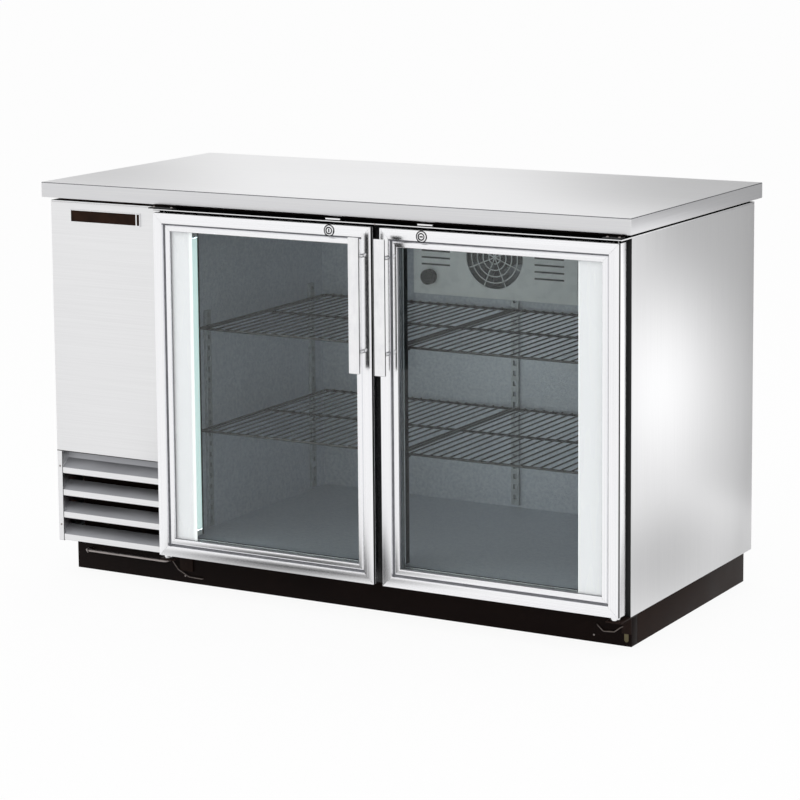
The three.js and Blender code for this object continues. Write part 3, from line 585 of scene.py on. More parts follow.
# %% [markdown]
# The base, the hinge feet and the compressor are steel with baked black paint, a little brown in strong
# light. The fine texture of spray paint, called orange peel, keeps its gloss from being perfect.

# %% Black paint
DUST_CLOUD = 160
ORANGE_PEEL = (5, 2.0, 0.05)


def black_paint(name, dark, light):
    """Baked black enamel on steel: near black with a brown cast and a soft, slightly rippled gloss."""
    return surface(
        name, "black_paint", DUST_CLOUD, (dark, light), (0.42, 0.56), 3.0, swell=ORANGE_PEEL, IOR=1.12,
    )


paint = black_paint("baked_black_paint", "#221916", "#2c211d")
# The front of the base is painted a deeper black than the rest, as painted shade of the doors over it
kick_paint_painted_shade = black_paint("baked_black_paint_kick_painted_shade", "#120c0b", "#1a1210")

# %% [markdown]
# The shelves are wire that was dipped in black plastic powder, the evaporator's cover and the lamp
# housings are white enamelled sheet, and the seals, the nameplate and the centre post are black vinyl.

# %% Coated wire, white enamel, vinyl and plastics
# Powder that melted onto hot wire: black, smooth and a little shiny
wire_coat = surface(
    "dipped_black_powder_coat", "black_wire_coat", 4, ("#121214", "#1e1e21"), (0.28, 0.4), relief=0.05,
)
# Stoved enamel on sheet: clean white with a soft gloss
enamel = surface(
    "stoved_white_enamel", "white_enamel", 30, ("#eceef0", "#f4f5f6"), (0.24, 0.34), relief=0.03,
)
# Extruded soft vinyl: black and dull, with a faint bloom
vinyl = surface("extruded_black_vinyl", "black_vinyl", 12, ("#0b0b0c", "#161617"), (0.5, 0.66), relief=0.05)
# Glass filled nylon: dark grey with a fine moulded grain
nylon = surface("moulded_grey_nylon", "grey_plastic", 2.5, ("#3c3e42", "#4b4d52"), (0.5, 0.62), relief=0.06)
# Polyurethane foam with its skin: straw coloured, matt and pitted
foam = surface(
    "skinned_polyurethane_foam", "foam_core", 6, ("#d9cb98", "#e8dcb0"), (0.85, 0.95), relief=0.8, IOR=1.4,
)
# Soft grey vinyl between metal and glass, mid grey and matt: painted shade, so that the seams read as thin
# dark lines
grey_vinyl_painted_shade = surface(
    "extruded_grey_vinyl_painted_shade", "black_vinyl", 12, ("#77787c", "#898a8e"), (0.55, 0.7), relief=0.05, IOR=1.3,
)
# Flocked black felt, near black even at a glance: painted shade in the gap over the doors and in the locks
painted_shade_felt = surface(
    "flocked_black_felt_painted_shade", "black_vinyl", 3, ("#030303", "#070707"), (0.9, 1.0), relief=0.1, IOR=1.05,
)
# Brown black enamel of the bare nameplate
plate_enamel = surface(
    "brown_black_enamel", "black_vinyl", 20, ("#20130d", "#2b1a12"), (0.3, 0.42), relief=0.02, IOR=1.15,
)

# %% [markdown]
# The panes are low iron float glass with a coat against glare, drawn by an index that is lower than plain
# glass has. A glass shader bends the view through each pane, but it would stop the light of lamps as a
# solid block does, so shadow rays are let straight through.

# %% Float glass
def float_glass():
    """Clear coated float glass: hardly any tint, and faint reflections until the view glances off it."""
    material, tree, shader = new_material("coated_float_glass", "clear_glass")
    clearness = {"Roughness": 0.0, "IOR": 1.25, "Transmission Weight": 1.0}
    fill(tree, shader, {"Base Color": linear("#fbfefd"), **clearness})
    path = add_node(tree, "ShaderNodeLightPath")
    clear = add_node(tree, "ShaderNodeBsdfTransparent", {"Color": linear("#fdfefe")})
    mix_to_output(tree, path.outputs["Is Shadow Ray"], shader, clear)
    return material


glass = float_glass()

# %% [markdown]
# Each lamp is a fluorescent tube: glass with a white powder inside that glows evenly along its length. A
# white band of enamel, fired onto the pane, hides it from the front. The lamp shines through the band a
# little, and more along its free margin, where the enamel is thinner. That is written as a weak light of
# the band's own.

# %% Tube and fired enamel
LAMP_STRENGTH = 10.0


def tube_glow():
    """Phosphor coated tube, cool white and brighter than anything near it."""
    material, tree, shader = new_material("glowing_phosphor_tube", "lamp_glass")
    powder = noise(tree, along("z", 90, 20), detail=1.0)
    fill(tree, shader, {
        "Base Color": linear("#f6fbf7"),
        "Roughness": 0.3,
        "Emission Color": blend_colours(tree, powder, "#eef8ff", "#f6fbff"),
        "Emission Strength": LAMP_STRENGTH,
    })
    return material


def fired_enamel(name, colour, glow_colour, glow):
    """White glass enamel on a pane, backlit: even, smooth and a trace cooler than paper."""
    material, tree, shader = new_material(name, "white_enamel")
    mottle = noise(tree, along("z", 160, 25), detail=1.0)
    fill(tree, shader, {
        "Base Color": linear(colour),
        "Roughness": between(tree, mottle, 0.22, 0.32),
        "Emission Color": linear(glow_colour),
        "Emission Strength": glow,
    })
    return material


phosphor = tube_glow()
band_white = fired_enamel("fired_white_enamel", "#ecebee", "#f9f5f8", 0.19)
band_margin = fired_enamel("fired_white_enamel_margin", "#f2f3f3", "#f8fafa", 0.36)
# The clip on lens of the lamp channel is opal plastic, a trace green; its glow is painted light of the lamp
# behind it
opal_lens_painted_glow = fired_enamel("opal_acrylic_lens_painted_glow", "#d2e4e2", "#cfe6e4", 0.78)

# %% Finishes of the frame's nodes
for node, held in nodes.items():
    upright = node.startswith("side_panel")
    held.material_slots[0].material = steel["z"] if upright else material_for[slot_of[node]]

# %% [markdown]
# The counter is a tray of folded stainless sheet, upside down over a stiff board, with its corners welded
# and ground smooth. One box with rounded edges shows that well, because the folds are the only thing to
# see. It stands on a black bearer, whose shadow makes the dark line under the counter.

# %% Counter
FOLD = 2.0 * MM
COUNTER_THICKNESS = 35.5 * MM
BEARER_INSET = 30 * MM
BEARER_BACK_INSET = 8 * MM
# A face counts as square to an axis over the first share of its normal, and as sloping over the second
SQUARE, SLANT = 0.9, 0.05
counter_low, counter_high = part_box("countertop")
deck_low, deck_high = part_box("top_deck")
slab = bmesh.new()
add_box(slab, (counter_low.x, counter_low.y, counter_high.z - COUNTER_THICKNESS), counter_high)
soften(slab, FOLD, segments=3)
# Upward sloping folds get the painted dark reflection, the ends and the front get the painted shade
for face in slab.faces:
    x, y, z = face.normal
    face.material_index = 2 if SLANT < z < 1 - SLANT else 3 if abs(x) > SQUARE else int(y < -SQUARE)
sheets = [steel["x"], apron_steel_painted_shade, fold_steel_painted_dark, end_steel_painted_shade]
make_piece("countertop_sheet", slab, sheets, replaced="countertop")
make_box(
    "counter_bearer", counter_low + Vector((BEARER_INSET, BEARER_INSET, 0)),
    counter_high - Vector((BEARER_INSET, BEARER_BACK_INSET, COUNTER_THICKNESS)), paint,
)
print("counter", [round(value, 3) for value in counter_high - counter_low])

# %% [markdown]
# The body's skins, the base, the feet of the hinges and much of what is inside already have their right
# shapes in the frame. Real sheet never has a knife edge, though, and a rounded edge is what catches the
# light, so each gets a copy with its edges rounded by about the radius of its fold, given here in mm.

# %% Softened copies of frame nodes
DRESSED = {
    "front_panel": (1.2, steel["x"]), "back_panel": (0.3, zinc),
    "base_front": (1.2, kick_paint_painted_shade), "base_frame": (1.2, paint),
    "side_panel_left": (0.5, steel["z"]), "side_panel_right": (0.5, steel["z"]),
    "hinge_bracket_left": (0.8, paint), "hinge_bracket_right": (0.8, paint),
    "lamp_housing_left": (0.5, enamel), "lamp_housing_right": (0.5, enamel),
    "evaporator_motor": (1.5, nylon), "evaporator_coil": (1.0, liner_painted_cool_tint),
    "centre_mullion": (1.5, vinyl), "front_breaker": (0.5, vinyl),
    "unit_tray": (0.6, zinc), "fan_shroud": (0.8, paint),
    "condenser_motor": (1.2, nylon), "electrical_box": (1.5, zinc),
}
for node, (radius, material) in DRESSED.items():
    dress(node, radius * MM, material)
print("softened", len(DRESSED), "nodes")

# %% [markdown]
# The grille is one welded piece of brushed steel, but its blades' sloping sheets and the baffle behind them
# get a grey, dull steel, which is painted shade, so that only the posts and the lips are bright. Where a
# face looks, and how deep it lies, tells which of the two materials it gets. Thin black strips are painted
# shadow of the gaps that part it from the panel over it and from its own left post.

# %% Grille
GRILLE_FOLD = 0.6 * MM
SLOPE = 0.3
BAFFLE_DEPTH = 20 * MM
GAP_SHADE_WIDTH = 1.5 * MM
GAP_SHADE_OVER, GAP_SHADE_UNDER = 0.7, 0.3
GAP_SHADE_STAND = 0.3 * MM
POST_WIDTH = 13.5 * MM
grille_low, grille_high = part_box("louvre_grille")
panel_low, panel_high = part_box("front_panel")
grille = copy_of("louvre_grille", GRILLE_FOLD)
# Sloping faces, and faces deep behind the front, get the grey steel of painted shade
for face in grille.faces:
    sheet = abs(face.normal.z) > SLOPE and abs(face.normal.y) > SLOPE
    face.material_index = int(sheet or face.calc_center_median().y > grille_low.y + BAFFLE_DEPTH)
make_piece("louvre_grille_dressed", grille, [steel["x"], grille_steel_painted_shade], replaced="louvre_grille")
# Thin black vinyl strips: painted shadow of the gaps under the panel and beside the grille's left post
gap_shade_strips = bmesh.new()
add_box(
    gap_shade_strips, (panel_low.x, panel_low.y - GAP_SHADE_STAND, panel_low.z - GAP_SHADE_WIDTH * GAP_SHADE_UNDER),
    (panel_high.x, panel_low.y + GAP_SHADE_STAND, panel_low.z + GAP_SHADE_WIDTH * GAP_SHADE_OVER),
)
post_edge = grille_low.x + POST_WIDTH
add_box(
    gap_shade_strips, (post_edge, grille_low.y - GAP_SHADE_STAND, grille_low.z),
    (post_edge + GAP_SHADE_WIDTH, grille_low.y + GAP_SHADE_STAND, grille_high.z),
)
make_piece("grille_painted_shadow_gaps", gap_shade_strips, [vinyl])

# %% [markdown]
# The deck is covered in black felt, which is painted shade of the gaps over the doors, with a thin bright
# steel edge in front of its tongue over the doors, so that it shows as a bright line between two dark gaps.
# Beside the doors its edge is plain steel, like the panel below it. The lock strikes are bright too.

# %% Deck
DECK_FOLD = 0.4 * MM
EDGE_STAND, EDGE_HEIGHT = 0.4 * MM, 1.8 * MM
# A face lies flat when the upright share of its normal is over this
LYING = 0.5
tongue_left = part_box("door_frame_left")[0].x
sheet_top = counter_low.z
deck = copy_of("top_deck", DECK_FOLD)
# The deck's felt faces are painted shade of the gaps over the doors
for face in deck.faces:
    middle = face.calc_center_median()
    upright, at_end = abs(face.normal.z) < LYING, abs(face.normal.x) > SQUARE
    beside = upright and (middle.x < tongue_left - FOLD or at_end)
    face.material_index = 2 if beside else int(middle.z < sheet_top + EDGE_STAND)
make_piece("deck_strip", deck, [bright_steel, painted_shade_felt, steel["x"]], replaced="top_deck")
make_box(
    "deck_bright_edge", (tongue_left, deck_low.y - EDGE_STAND, sheet_top - EDGE_HEIGHT),
    (deck_high.x, deck_low.y + EDGE_STAND, sheet_top), bright_steel,
)
print("bright edge from", round(tongue_left, 3), "to", round(deck_high.x, 3))

# %% [markdown]
# Doors, beads, seals and the nameplate's rim are all frames: one extruded profile, cut at 45 degrees and
# joined at the corners. The profile is a few points, each an inset from the outer edge and a depth. For
# each bar the profile becomes a face at both ends, on the mitre planes, and bridging the two makes the
# bar. A hair of space between bars draws the mitre line that the eye expects at each corner.

# %% Mitred frames
MITRE_GAP = 0.15 * MM


def make_frame(name, low, high, profile, materials, body="cabinet", replaced=None, radius=0.0):
    """Four mitred bars as one piece, inside the x and z limits of a box, from points (inset, y)."""
    mesh = bmesh.new()
    homes = ((low.x, low.z, 1, 1), (high.x, low.z, -1, 1), (high.x, high.z, -1, -1), (low.x, high.z, 1, -1))
    for i in range(4):
        starts, ends = (
            [Vector((x + sign_x * inset, y, z + sign_z * inset)) for inset, y in profile]
            for x, z, sign_x, sign_z in (homes[i], homes[(i + 1) % 4])
        )
        gap = (ends[0] - starts[0]).normalized() * MITRE_GAP
        first = mesh.faces.new([mesh.verts.new(point + gap) for point in starts])
        last = mesh.faces.new([mesh.verts.new(point - gap) for point in ends])
        walls = bmesh.ops.bridge_loops(mesh, edges=[*first.edges, *last.edges])["faces"]
        for face in (first, last, *walls):
            face.material_index = i % len(materials)
        if radius:
            long_edges = {edge for face in walls for edge in face.edges} - {*first.edges, *last.edges}
            folds = [edge for edge in long_edges if edge.calc_face_angle() > SHARP_ANGLE]
            soften(mesh, radius, edges=folds)
    make_piece(name, mesh, materials, body, replaced)


def strip(inset, depth):
    """The profile of a flat strip between two insets and two depths."""
    return [(inset[0], depth[0]), (inset[1], depth[0]), (inset[1], depth[1]), (inset[0], depth[1])]


# %% [markdown]
# The nameplate is bare here: a dark plate in a thin bright rim, stuck to the panel.

# %% Nameplate
NAMEPLATE_RIM = 2.2 * MM
NAMEPLATE_SINK = 0.8 * MM
NAMEPLATE_EDGE = 0.3 * MM
NAMEPLATE_END = (12 * MM, 9 * MM)
plate_low, plate_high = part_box("nameplate")
make_frame("nameplate_rim", plate_low, plate_high, [
    (0, plate_high.y), (0, plate_low.y + NAMEPLATE_SINK), (NAMEPLATE_RIM / 3, plate_low.y),
    (NAMEPLATE_RIM, plate_low.y), (NAMEPLATE_RIM, plate_high.y),
], [bright_steel], radius=NAMEPLATE_EDGE)
rim = Vector((NAMEPLATE_RIM, 0, NAMEPLATE_RIM))
face_low = plate_low + rim + Y * NAMEPLATE_SINK
make_box("nameplate_face", face_low, plate_high - rim, plate_enamel, replaced="nameplate")
bar_from, bar_to = (plate_high.x - inset for inset in NAMEPLATE_END)
make_box(
    "nameplate_end_bar", (bar_from, plate_low.y, plate_low.z + NAMEPLATE_RIM),
    (bar_to, plate_high.y, plate_high.z - NAMEPLATE_RIM), bright_steel,
)

# %% [markdown]
# A bright bar crosses the base under the grille. It is one rod with both ends bent back to the base, so it
# is drawn as a wire along a rounded route. An eye holds it near its left end.

# %% Kick bar
KICK_BAR_RADIUS = 3 * MM
KICK_BAR_BEND = 9 * MM
EYE_INSET = 11 * MM
EYE_RADIUS = 4.6 * MM
EYE_WIRE = 1.1 * MM
base_low, base_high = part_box("base_front")
bar_low, bar_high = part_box("kick_bar")
bar_z = (bar_low.z + bar_high.z) / 2
bar_y = bar_low.y + KICK_BAR_RADIUS
x0, x1 = bar_low.x + KICK_BAR_RADIUS, bar_high.x - KICK_BAR_RADIUS
corners = [(x0, bar_high.y, bar_z), (x0, bar_y, bar_z), (x1, bar_y, bar_z), (x1, bar_high.y, bar_z)]
kick_bar = bmesh.new()
add_wire(kick_bar, rounded_route(corners, KICK_BAR_BEND), KICK_BAR_RADIUS, sides=16)
make_piece("kick_bar_rod", kick_bar, [scuffed_steel], replaced="kick_bar")
eye = bmesh.new()
eye_middle = Vector((bar_low.x + EYE_INSET, bar_y, bar_z))
add_ring(eye, eye_middle, Z * EYE_RADIUS, Y * EYE_RADIUS, EYE_WIRE, steps=20, sides=8)
add_rod(eye, eye_middle + Y * EYE_RADIUS, (eye_middle.x, base_low.y, bar_z), EYE_WIRE, sides=8)
make_piece("kick_bar_eye", eye, [scuffed_steel])
print("kick bar", round(x1 - x0, 3), "long")

# %% [markdown]
# Each door is built the same way, and the right one is the mirror of the left: a mitred aluminium frame, a
# glazing bead that holds a sealed double pane, a magnetic seal at the back, a lamp in its housing at the
# hinge side, a pull handle and a lock. The places come from the frame's nodes, so both doors share one piece
# of code. Black and grey strips of vinyl in the grooves between the metals are painted shade of those
# grooves, and the fired band lies on the back of the outer pane, from under the bead towards the middle.

# %% Measures of a door
FRAME_WIDTH = 23 * MM
FRAME_EDGE = 0.6 * MM
LIP_WIDTH = 40.5 * MM
LIP_DEPTH = 3 * MM
GROOVE_FROM, GROOVE_TO, GROOVE_DEPTH = 0.9 * MM, 8.4 * MM, 2 * MM
BEAD_NOSE_INSET = 26.4 * MM
BEAD_NOSE_SINK = 4.4 * MM
BEAD_STEP_SINK = 9 * MM
BEAD_CHAMFER = 4 * MM
CHAMFER_ROUND = 0.4
BEAD_SLOPE = 1.2 * MM
BEAD_EDGE = 0.5 * MM
FIT = 0.3 * MM
PANE = 4 * MM
PANE_EDGE = 0.4 * MM
SPACER = (31 * MM, 38.5 * MM)
WEDGE = 0.9 * MM
SEAL_STRIP = 1.4 * MM
SEAL_WIDTH = 15 * MM
SEAL_FOLD = 2.5 * MM
SEAL_EDGE = 0.8 * MM
BAND_START = 31 * MM
BAND_WIDTH = {"left": 56 * MM, "right": 66 * MM}
BAND_MARGIN = {"left": 8 * MM, "right": 2 * MM}
BAND_SHEET = 0.4 * MM

# %% Frame, bead, panes and seal
metals = [aluminium["x"], aluminium["z"]]
for side in SIDES:
    body = f"{side}_door"
    low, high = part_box(f"door_frame_{side}")
    groove = low.y + GROOVE_FROM, low.y + GROOVE_TO
    make_frame(f"door_frame_{side}_bars", low, high, [
        (0, low.y), (FRAME_WIDTH, low.y), (FRAME_WIDTH, high.y - LIP_DEPTH),
        (LIP_WIDTH, high.y - LIP_DEPTH), (LIP_WIDTH, high.y), (0, high.y),
        (0, groove[1]), (GROOVE_DEPTH, groove[1]), (GROOVE_DEPTH, groove[0]), (0, groove[0]),
    ], metals, body, f"door_frame_{side}", FRAME_EDGE)
    # Black vinyl in the frame's side groove: painted shade along the door's edge
    edge_shade_strip = strip((FIT, GROOVE_DEPTH - FIT / 2), (groove[0] + FIT / 2, groove[1] - FIT / 2))
    make_frame(f"edge_shade_strip_{side}", low, high, edge_shade_strip, [vinyl], body)

    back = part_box(f"glazing_bead_{side}")[1].y
    nose, step = low.y + BEAD_NOSE_SINK, low.y + BEAD_STEP_SINK
    round_off = BEAD_CHAMFER * CHAMFER_ROUND
    make_frame(f"glazing_bead_{side}_bars", low, high, [
        (FRAME_WIDTH + FIT, back), (FRAME_WIDTH + FIT, step), (BEAD_NOSE_INSET, step),
        (BEAD_NOSE_INSET, nose + BEAD_CHAMFER), (BEAD_NOSE_INSET + round_off, nose + round_off),
        (BEAD_NOSE_INSET + BEAD_CHAMFER, nose), (LIP_WIDTH - BEAD_SLOPE, nose),
        (LIP_WIDTH, nose + BEAD_SLOPE), (LIP_WIDTH, back),
    ], metals, body, f"glazing_bead_{side}", BEAD_EDGE)
    # The grey wedge and the grey strip in the bead's groove are painted shade of those gaps
    make_frame(f"glazing_wedge_{side}", low, high, [
        (LIP_WIDTH, back), (LIP_WIDTH, back - WEDGE * 2),
        (LIP_WIDTH + WEDGE, back - WEDGE), (LIP_WIDTH + WEDGE, back),
    ], [grey_vinyl_painted_shade], body)
    groove_shade_strip = strip((FRAME_WIDTH + FIT, BEAD_NOSE_INSET - FIT), (step - SEAL_STRIP, step - FIT))
    make_frame(f"groove_shade_strip_{side}", low, high, groove_shade_strip, [grey_vinyl_painted_shade], body)

    glass_low, glass_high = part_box(f"glass_unit_{side}")
    panes = bmesh.new()
    add_box(panes, glass_low, (glass_high.x, glass_low.y + PANE, glass_high.z))
    add_box(panes, (glass_low.x, glass_high.y - PANE, glass_low.z), glass_high)
    soften(panes, PANE_EDGE, segments=1)
    make_piece(f"glass_panes_{side}", panes, [glass], body, f"glass_unit_{side}")
    band_y = glass_low.y + PANE + FIT
    hinge_x, free = (low.x, 1) if side == "left" else (high.x, -1)
    seam = BAND_START + BAND_WIDTH[side]
    for part, reaches, coat in (
        ("band", (BAND_START, seam), band_white), ("margin", (seam, seam + BAND_MARGIN[side]), band_margin),
    ):
        x0, x1 = sorted(hinge_x + free * reach for reach in reaches)
        make_box(
            f"lamp_{part}_{side}", (x0, band_y, low.z + BAND_START),
            (x1, band_y + BAND_SHEET, high.z - BAND_START), coat, body,
        )
    spacer = strip(SPACER, (band_y + BAND_SHEET + FIT, glass_high.y - PANE - FIT))
    make_frame(f"glass_spacer_{side}", low, high, spacer, [zinc], body)

    seal_low, seal_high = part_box(f"door_gasket_{side}")
    waist = (seal_low.y * 2 + seal_high.y) / 3
    make_frame(f"door_gasket_{side}_bellows", seal_low, seal_high, [
        (0, seal_low.y), (SEAL_FOLD, waist - SEAL_FOLD), (0, waist), (0, seal_high.y),
        (SEAL_WIDTH, seal_high.y), (SEAL_WIDTH, waist), (SEAL_WIDTH - SEAL_FOLD, waist - SEAL_FOLD),
        (SEAL_WIDTH, seal_low.y),
    ], [vinyl], body, f"door_gasket_{side}", SEAL_EDGE)
    print(side, "door", [round(value, 4) for value in high - low])

# %% [markdown]
# The lamp housing is a white channel behind the glass, with a flange that is screwed to the door's lip. An
# opal lens closes its open side, towards the middle of the door, and a black clip strip holds the lens
# along its inner edge. The tube sits between two end caps.

# %% Lamps
TUBE_SIDES = 32
TUBE_CAP = 14 * MM
CAP_EDGE = 1 * MM
LENS_SHEET = 1.5 * MM
LENS_EDGE = 0.5 * MM
HOUSING_SHEET = 1.5 * MM
CLIP_DEPTH = 6 * MM
CLIP_SHEET = 0.5 * MM
for side in SIDES:
    body = f"{side}_door"
    low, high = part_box(f"lamp_tube_{side}")
    middle = (low + high) / 2
    radius = (high.x - low.x) / 2
    tube, caps = bmesh.new(), bmesh.new()
    cuts = low.z, low.z + TUBE_CAP, high.z - TUBE_CAP, high.z
    for mesh, z0, z1 in zip((caps, tube, caps), cuts, cuts[1:]):
        add_rod(mesh, (middle.x, middle.y, z0), (middle.x, middle.y, z1), radius, TUBE_SIDES)
    soften(caps, CAP_EDGE)
    make_piece(f"lamp_tube_{side}_glass", tube, [phosphor], body, f"lamp_tube_{side}")
    make_piece(f"lamp_caps_{side}", caps, [zinc], body)
    low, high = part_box(f"lamp_housing_{side}")
    open_x, inwards = (high.x, -1) if side == "left" else (low.x, 1)
    x0, x1 = sorted((open_x, open_x + inwards * LENS_SHEET))
    sheet = Vector((0, HOUSING_SHEET + FIT, TUBE_CAP))
    lens_low, lens_high = Vector((x0, low.y, low.z)) + sheet, Vector((x1, high.y, high.z)) - sheet
    make_box(f"lamp_lens_{side}", lens_low, lens_high, opal_lens_painted_glow, body, radius=LENS_EDGE)
    x0, x1 = sorted((open_x, open_x - inwards * CLIP_SHEET))
    make_box(f"lens_clip_{side}", (x0, high.y - CLIP_DEPTH, low.z), (x1, high.y, high.z), vinyl, body)
print("lamp tubes", round(cuts[2] - cuts[1], 3), "long")

# %% [markdown]
# The pull is a flat bar of bright stainless on two round posts, with a thin black vinyl backing that is
# painted shade. Seen from the side the backing shows as a dark line along the bright face, where the bar's
# shaded side would be.

# %% Handles
HANDLE_FACE = 2.4 * MM
HANDLE_EDGE = 1 * MM
HANDLE_DEPTH = 6 * MM
SHADE_CORE_INSET = 0.8 * MM
SHADE_CORE_EDGE = 0.5 * MM
POST_RADIUS = 4.6 * MM
POST_INSET = 44 * MM
POST_EDGE = 0.4 * MM
for side in SIDES:
    body = f"{side}_door"
    low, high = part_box(f"door_handle_{side}")
    make_box(
        f"handle_face_{side}", low, (high.x, low.y + HANDLE_FACE, high.z), bright_steel, body,
        f"door_handle_{side}", HANDLE_EDGE, segments=3,
    )
    # The black vinyl core is painted shade of the bar's side
    inset = Vector((SHADE_CORE_INSET, 0, SHADE_CORE_INSET))
    shade_core_low = low + inset + Y * HANDLE_FACE
    shade_core_high = Vector((high.x, low.y + HANDLE_DEPTH, high.z)) - inset
    make_box(f"handle_shade_core_{side}", shade_core_low, shade_core_high, vinyl, body, radius=SHADE_CORE_EDGE)
    posts = bmesh.new()
    x = (low.x + high.x) / 2
    for z in (low.z + POST_INSET, high.z - POST_INSET):
        add_rod(posts, (x, low.y + HANDLE_DEPTH, z), (x, high.y, z), POST_RADIUS, sides=24)
    soften(posts, POST_EDGE)
    make_piece(f"handle_posts_{side}", posts, [bright_steel], body)
    print(side, "handle", round(high.z - low.z, 3), "high")

# %% [markdown]
# A cam lock is a turned barrel: a rim that rests on the door, a plug that is sunk a little in it, and a key
# slot. Its profile is spun about its own axis, and the flat cam arm at its back is a box. The key slot, the
# ring between plug and rim, and a thin ring round the rim are black felt: painted shade of the keyway and
# the groove, and a painted shadow round the rim.

# %% Locks
RIM, RIM_DEPTH, RIM_EDGE = 11 * MM, 1.8 * MM, 1 * MM
PLUG, PLUG_SINK = 5.6 * MM, 0.4 * MM
RING, RING_DEPTH, RING_BACK = 8.4 * MM, 1 * MM, 2.4 * MM
BARREL = 9.5 * MM
KEY_SLOT = (1.5 * MM, 3.9 * MM)
SLOT_STAND, SLOT_SHEET = 0.1 * MM, 0.4 * MM
SHADOW_WIDTH, SHADOW_SHEET = 2.1 * MM, 0.8 * MM
CAM_FROM = 25.8 * MM
CAM_HALF = 5 * MM
for side in SIDES:
    low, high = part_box(f"lock_{side}")
    centre = Vector((low.x + RIM, low.y, (low.z + high.z) / 2))
    depth = high.y - low.y
    barrel = bmesh.new()
    add_turned(barrel, [
        (0, PLUG_SINK), (PLUG, PLUG_SINK), (PLUG, RING_BACK), (RING, RING_BACK), (RING, 0),
        (RIM - RIM_EDGE, 0), (RIM, RIM_EDGE), (RIM, RIM_DEPTH), (BARREL, RIM_DEPTH),
        (BARREL, depth), (0, depth),
    ], centre, Y)
    add_box(
        barrel, (centre.x - CAM_HALF, low.y + CAM_FROM, centre.z - CAM_HALF),
        (high.x, high.y, centre.z + CAM_HALF),
    )
    make_piece(f"lock_{side}_barrel", barrel, [bright_steel], f"{side}_lock", f"lock_{side}")
    # Felt key slot and rings: painted shade of the keyway and groove, and a painted shadow round the rim
    lock_shade_parts = bmesh.new()
    across, up = KEY_SLOT if side == "left" else reversed(KEY_SLOT)
    at = centre + Y * (PLUG_SINK - SLOT_STAND)
    add_box(lock_shade_parts, at - Vector((across, 0, up)), at + Vector((across, SLOT_SHEET, up)))
    ring = strip((PLUG + FIT / 2, RING - FIT / 2), (RING_DEPTH, RING_BACK - FIT / 2))
    shadow = strip((RIM, RIM + SHADOW_WIDTH), (RIM_DEPTH - SHADOW_SHEET, RIM_DEPTH))
    for profile in (ring, shadow):
        add_turned(lock_shade_parts, [*profile, profile[0]], centre, Y)
    make_piece(f"key_slot_painted_shade_{side}", lock_shade_parts, [painted_shade_felt], f"{side}_lock")
    print(side, "lock at", [round(value, 4) for value in centre])

# %% [markdown]
# A shelf is a rim of thick wire with thin wires laid over it from front to back, all welded and dipped in
# black. Each wire is its own rod, and the ends of the thin ones stop over the rim, as welded wires do.

# %% Shelves
SHELF_RIM = 3 * MM
SHELF_WIRE = 2 * MM
SHELF_PITCH = 25 * MM
for name in ("left_upper", "left_lower", "right_upper", "right_lower"):
    low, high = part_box(f"shelf_{name}")
    z_rim, z_wire = low.z + SHELF_RIM, high.z - SHELF_WIRE
    x0, x1 = low.x + SHELF_RIM, high.x - SHELF_RIM
    y0, y1 = low.y + SHELF_RIM, high.y - SHELF_RIM
    middle = (y0 + y1) / 2
    wires = bmesh.new()
    corners = [(x0, y0), (x1, y0), (x1, y1), (x0, y1)]
    for start, end in [*zip(corners, corners[1:] + corners[:1]), ((x0, middle), (x1, middle))]:
        add_rod(wires, (*start, z_rim), (*end, z_rim), SHELF_RIM, sides=12)
    for corner in corners:
        place = Matrix.Translation((*corner, z_rim))
        bmesh.ops.create_uvsphere(wires, u_segments=12, v_segments=8, radius=SHELF_RIM, matrix=place)
    spaces = round((x1 - x0) / SHELF_PITCH)
    for i in range(1, spaces):
        x = x0 + (x1 - x0) * i / spaces
        add_rod(wires, (x, low.y, z_wire), (x, high.y, z_wire), SHELF_WIRE, sides=8)
    make_piece(f"shelf_{name}_wires", wires, [wire_coat], replaced=f"shelf_{name}")
    print("shelf", name, "wires", spaces - 1)

# %% [markdown]
# A pilaster is a strip of galvanised steel with a ladder of slots, into which the shelf clips hook. It is
# drawn as what is left of the strip: two uprights and the rungs between the slots. Each clip is a small
# bracket of the same steel under the shelf.

# %% Pilasters and clips
PILASTER_DEPTH = 8 * MM
PILASTER_WIDTH = 20 * MM
PILASTER_EDGE = 0.4 * MM
RUNG_PITCH = 25 * MM
SLOT_HEIGHT = 11 * MM
UPRIGHT_SHARE = 0.28
CLIP_HEIGHT = 4 * MM
shelf_levels = [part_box(f"shelf_left_{level}")[0].z for level in ("lower", "upper")]


def add_ladder(mesh, low, high, axis):
    """A slotted strip between two corners: uprights at its edges along an axis, 0 or 1, and rungs."""
    low, high = Vector(low), Vector(high)
    inner_low, inner_high, first_high, last_low = low.copy(), high.copy(), high.copy(), low.copy()
    width = (high[axis] - low[axis]) * UPRIGHT_SHARE
    inner_low[axis] = first_high[axis] = low[axis] + width
    inner_high[axis] = last_low[axis] = high[axis] - width
    add_box(mesh, low, first_high)
    add_box(mesh, last_low, high)
    for i in range(int((high.z - low.z) / RUNG_PITCH) + 1):
        z0 = low.z + i * RUNG_PITCH
        z1 = min(z0 + RUNG_PITCH - SLOT_HEIGHT, high.z)
        if z1 > z0:
            add_box(mesh, (inner_low.x, inner_low.y, z0), (inner_high.x, inner_high.y, z1))


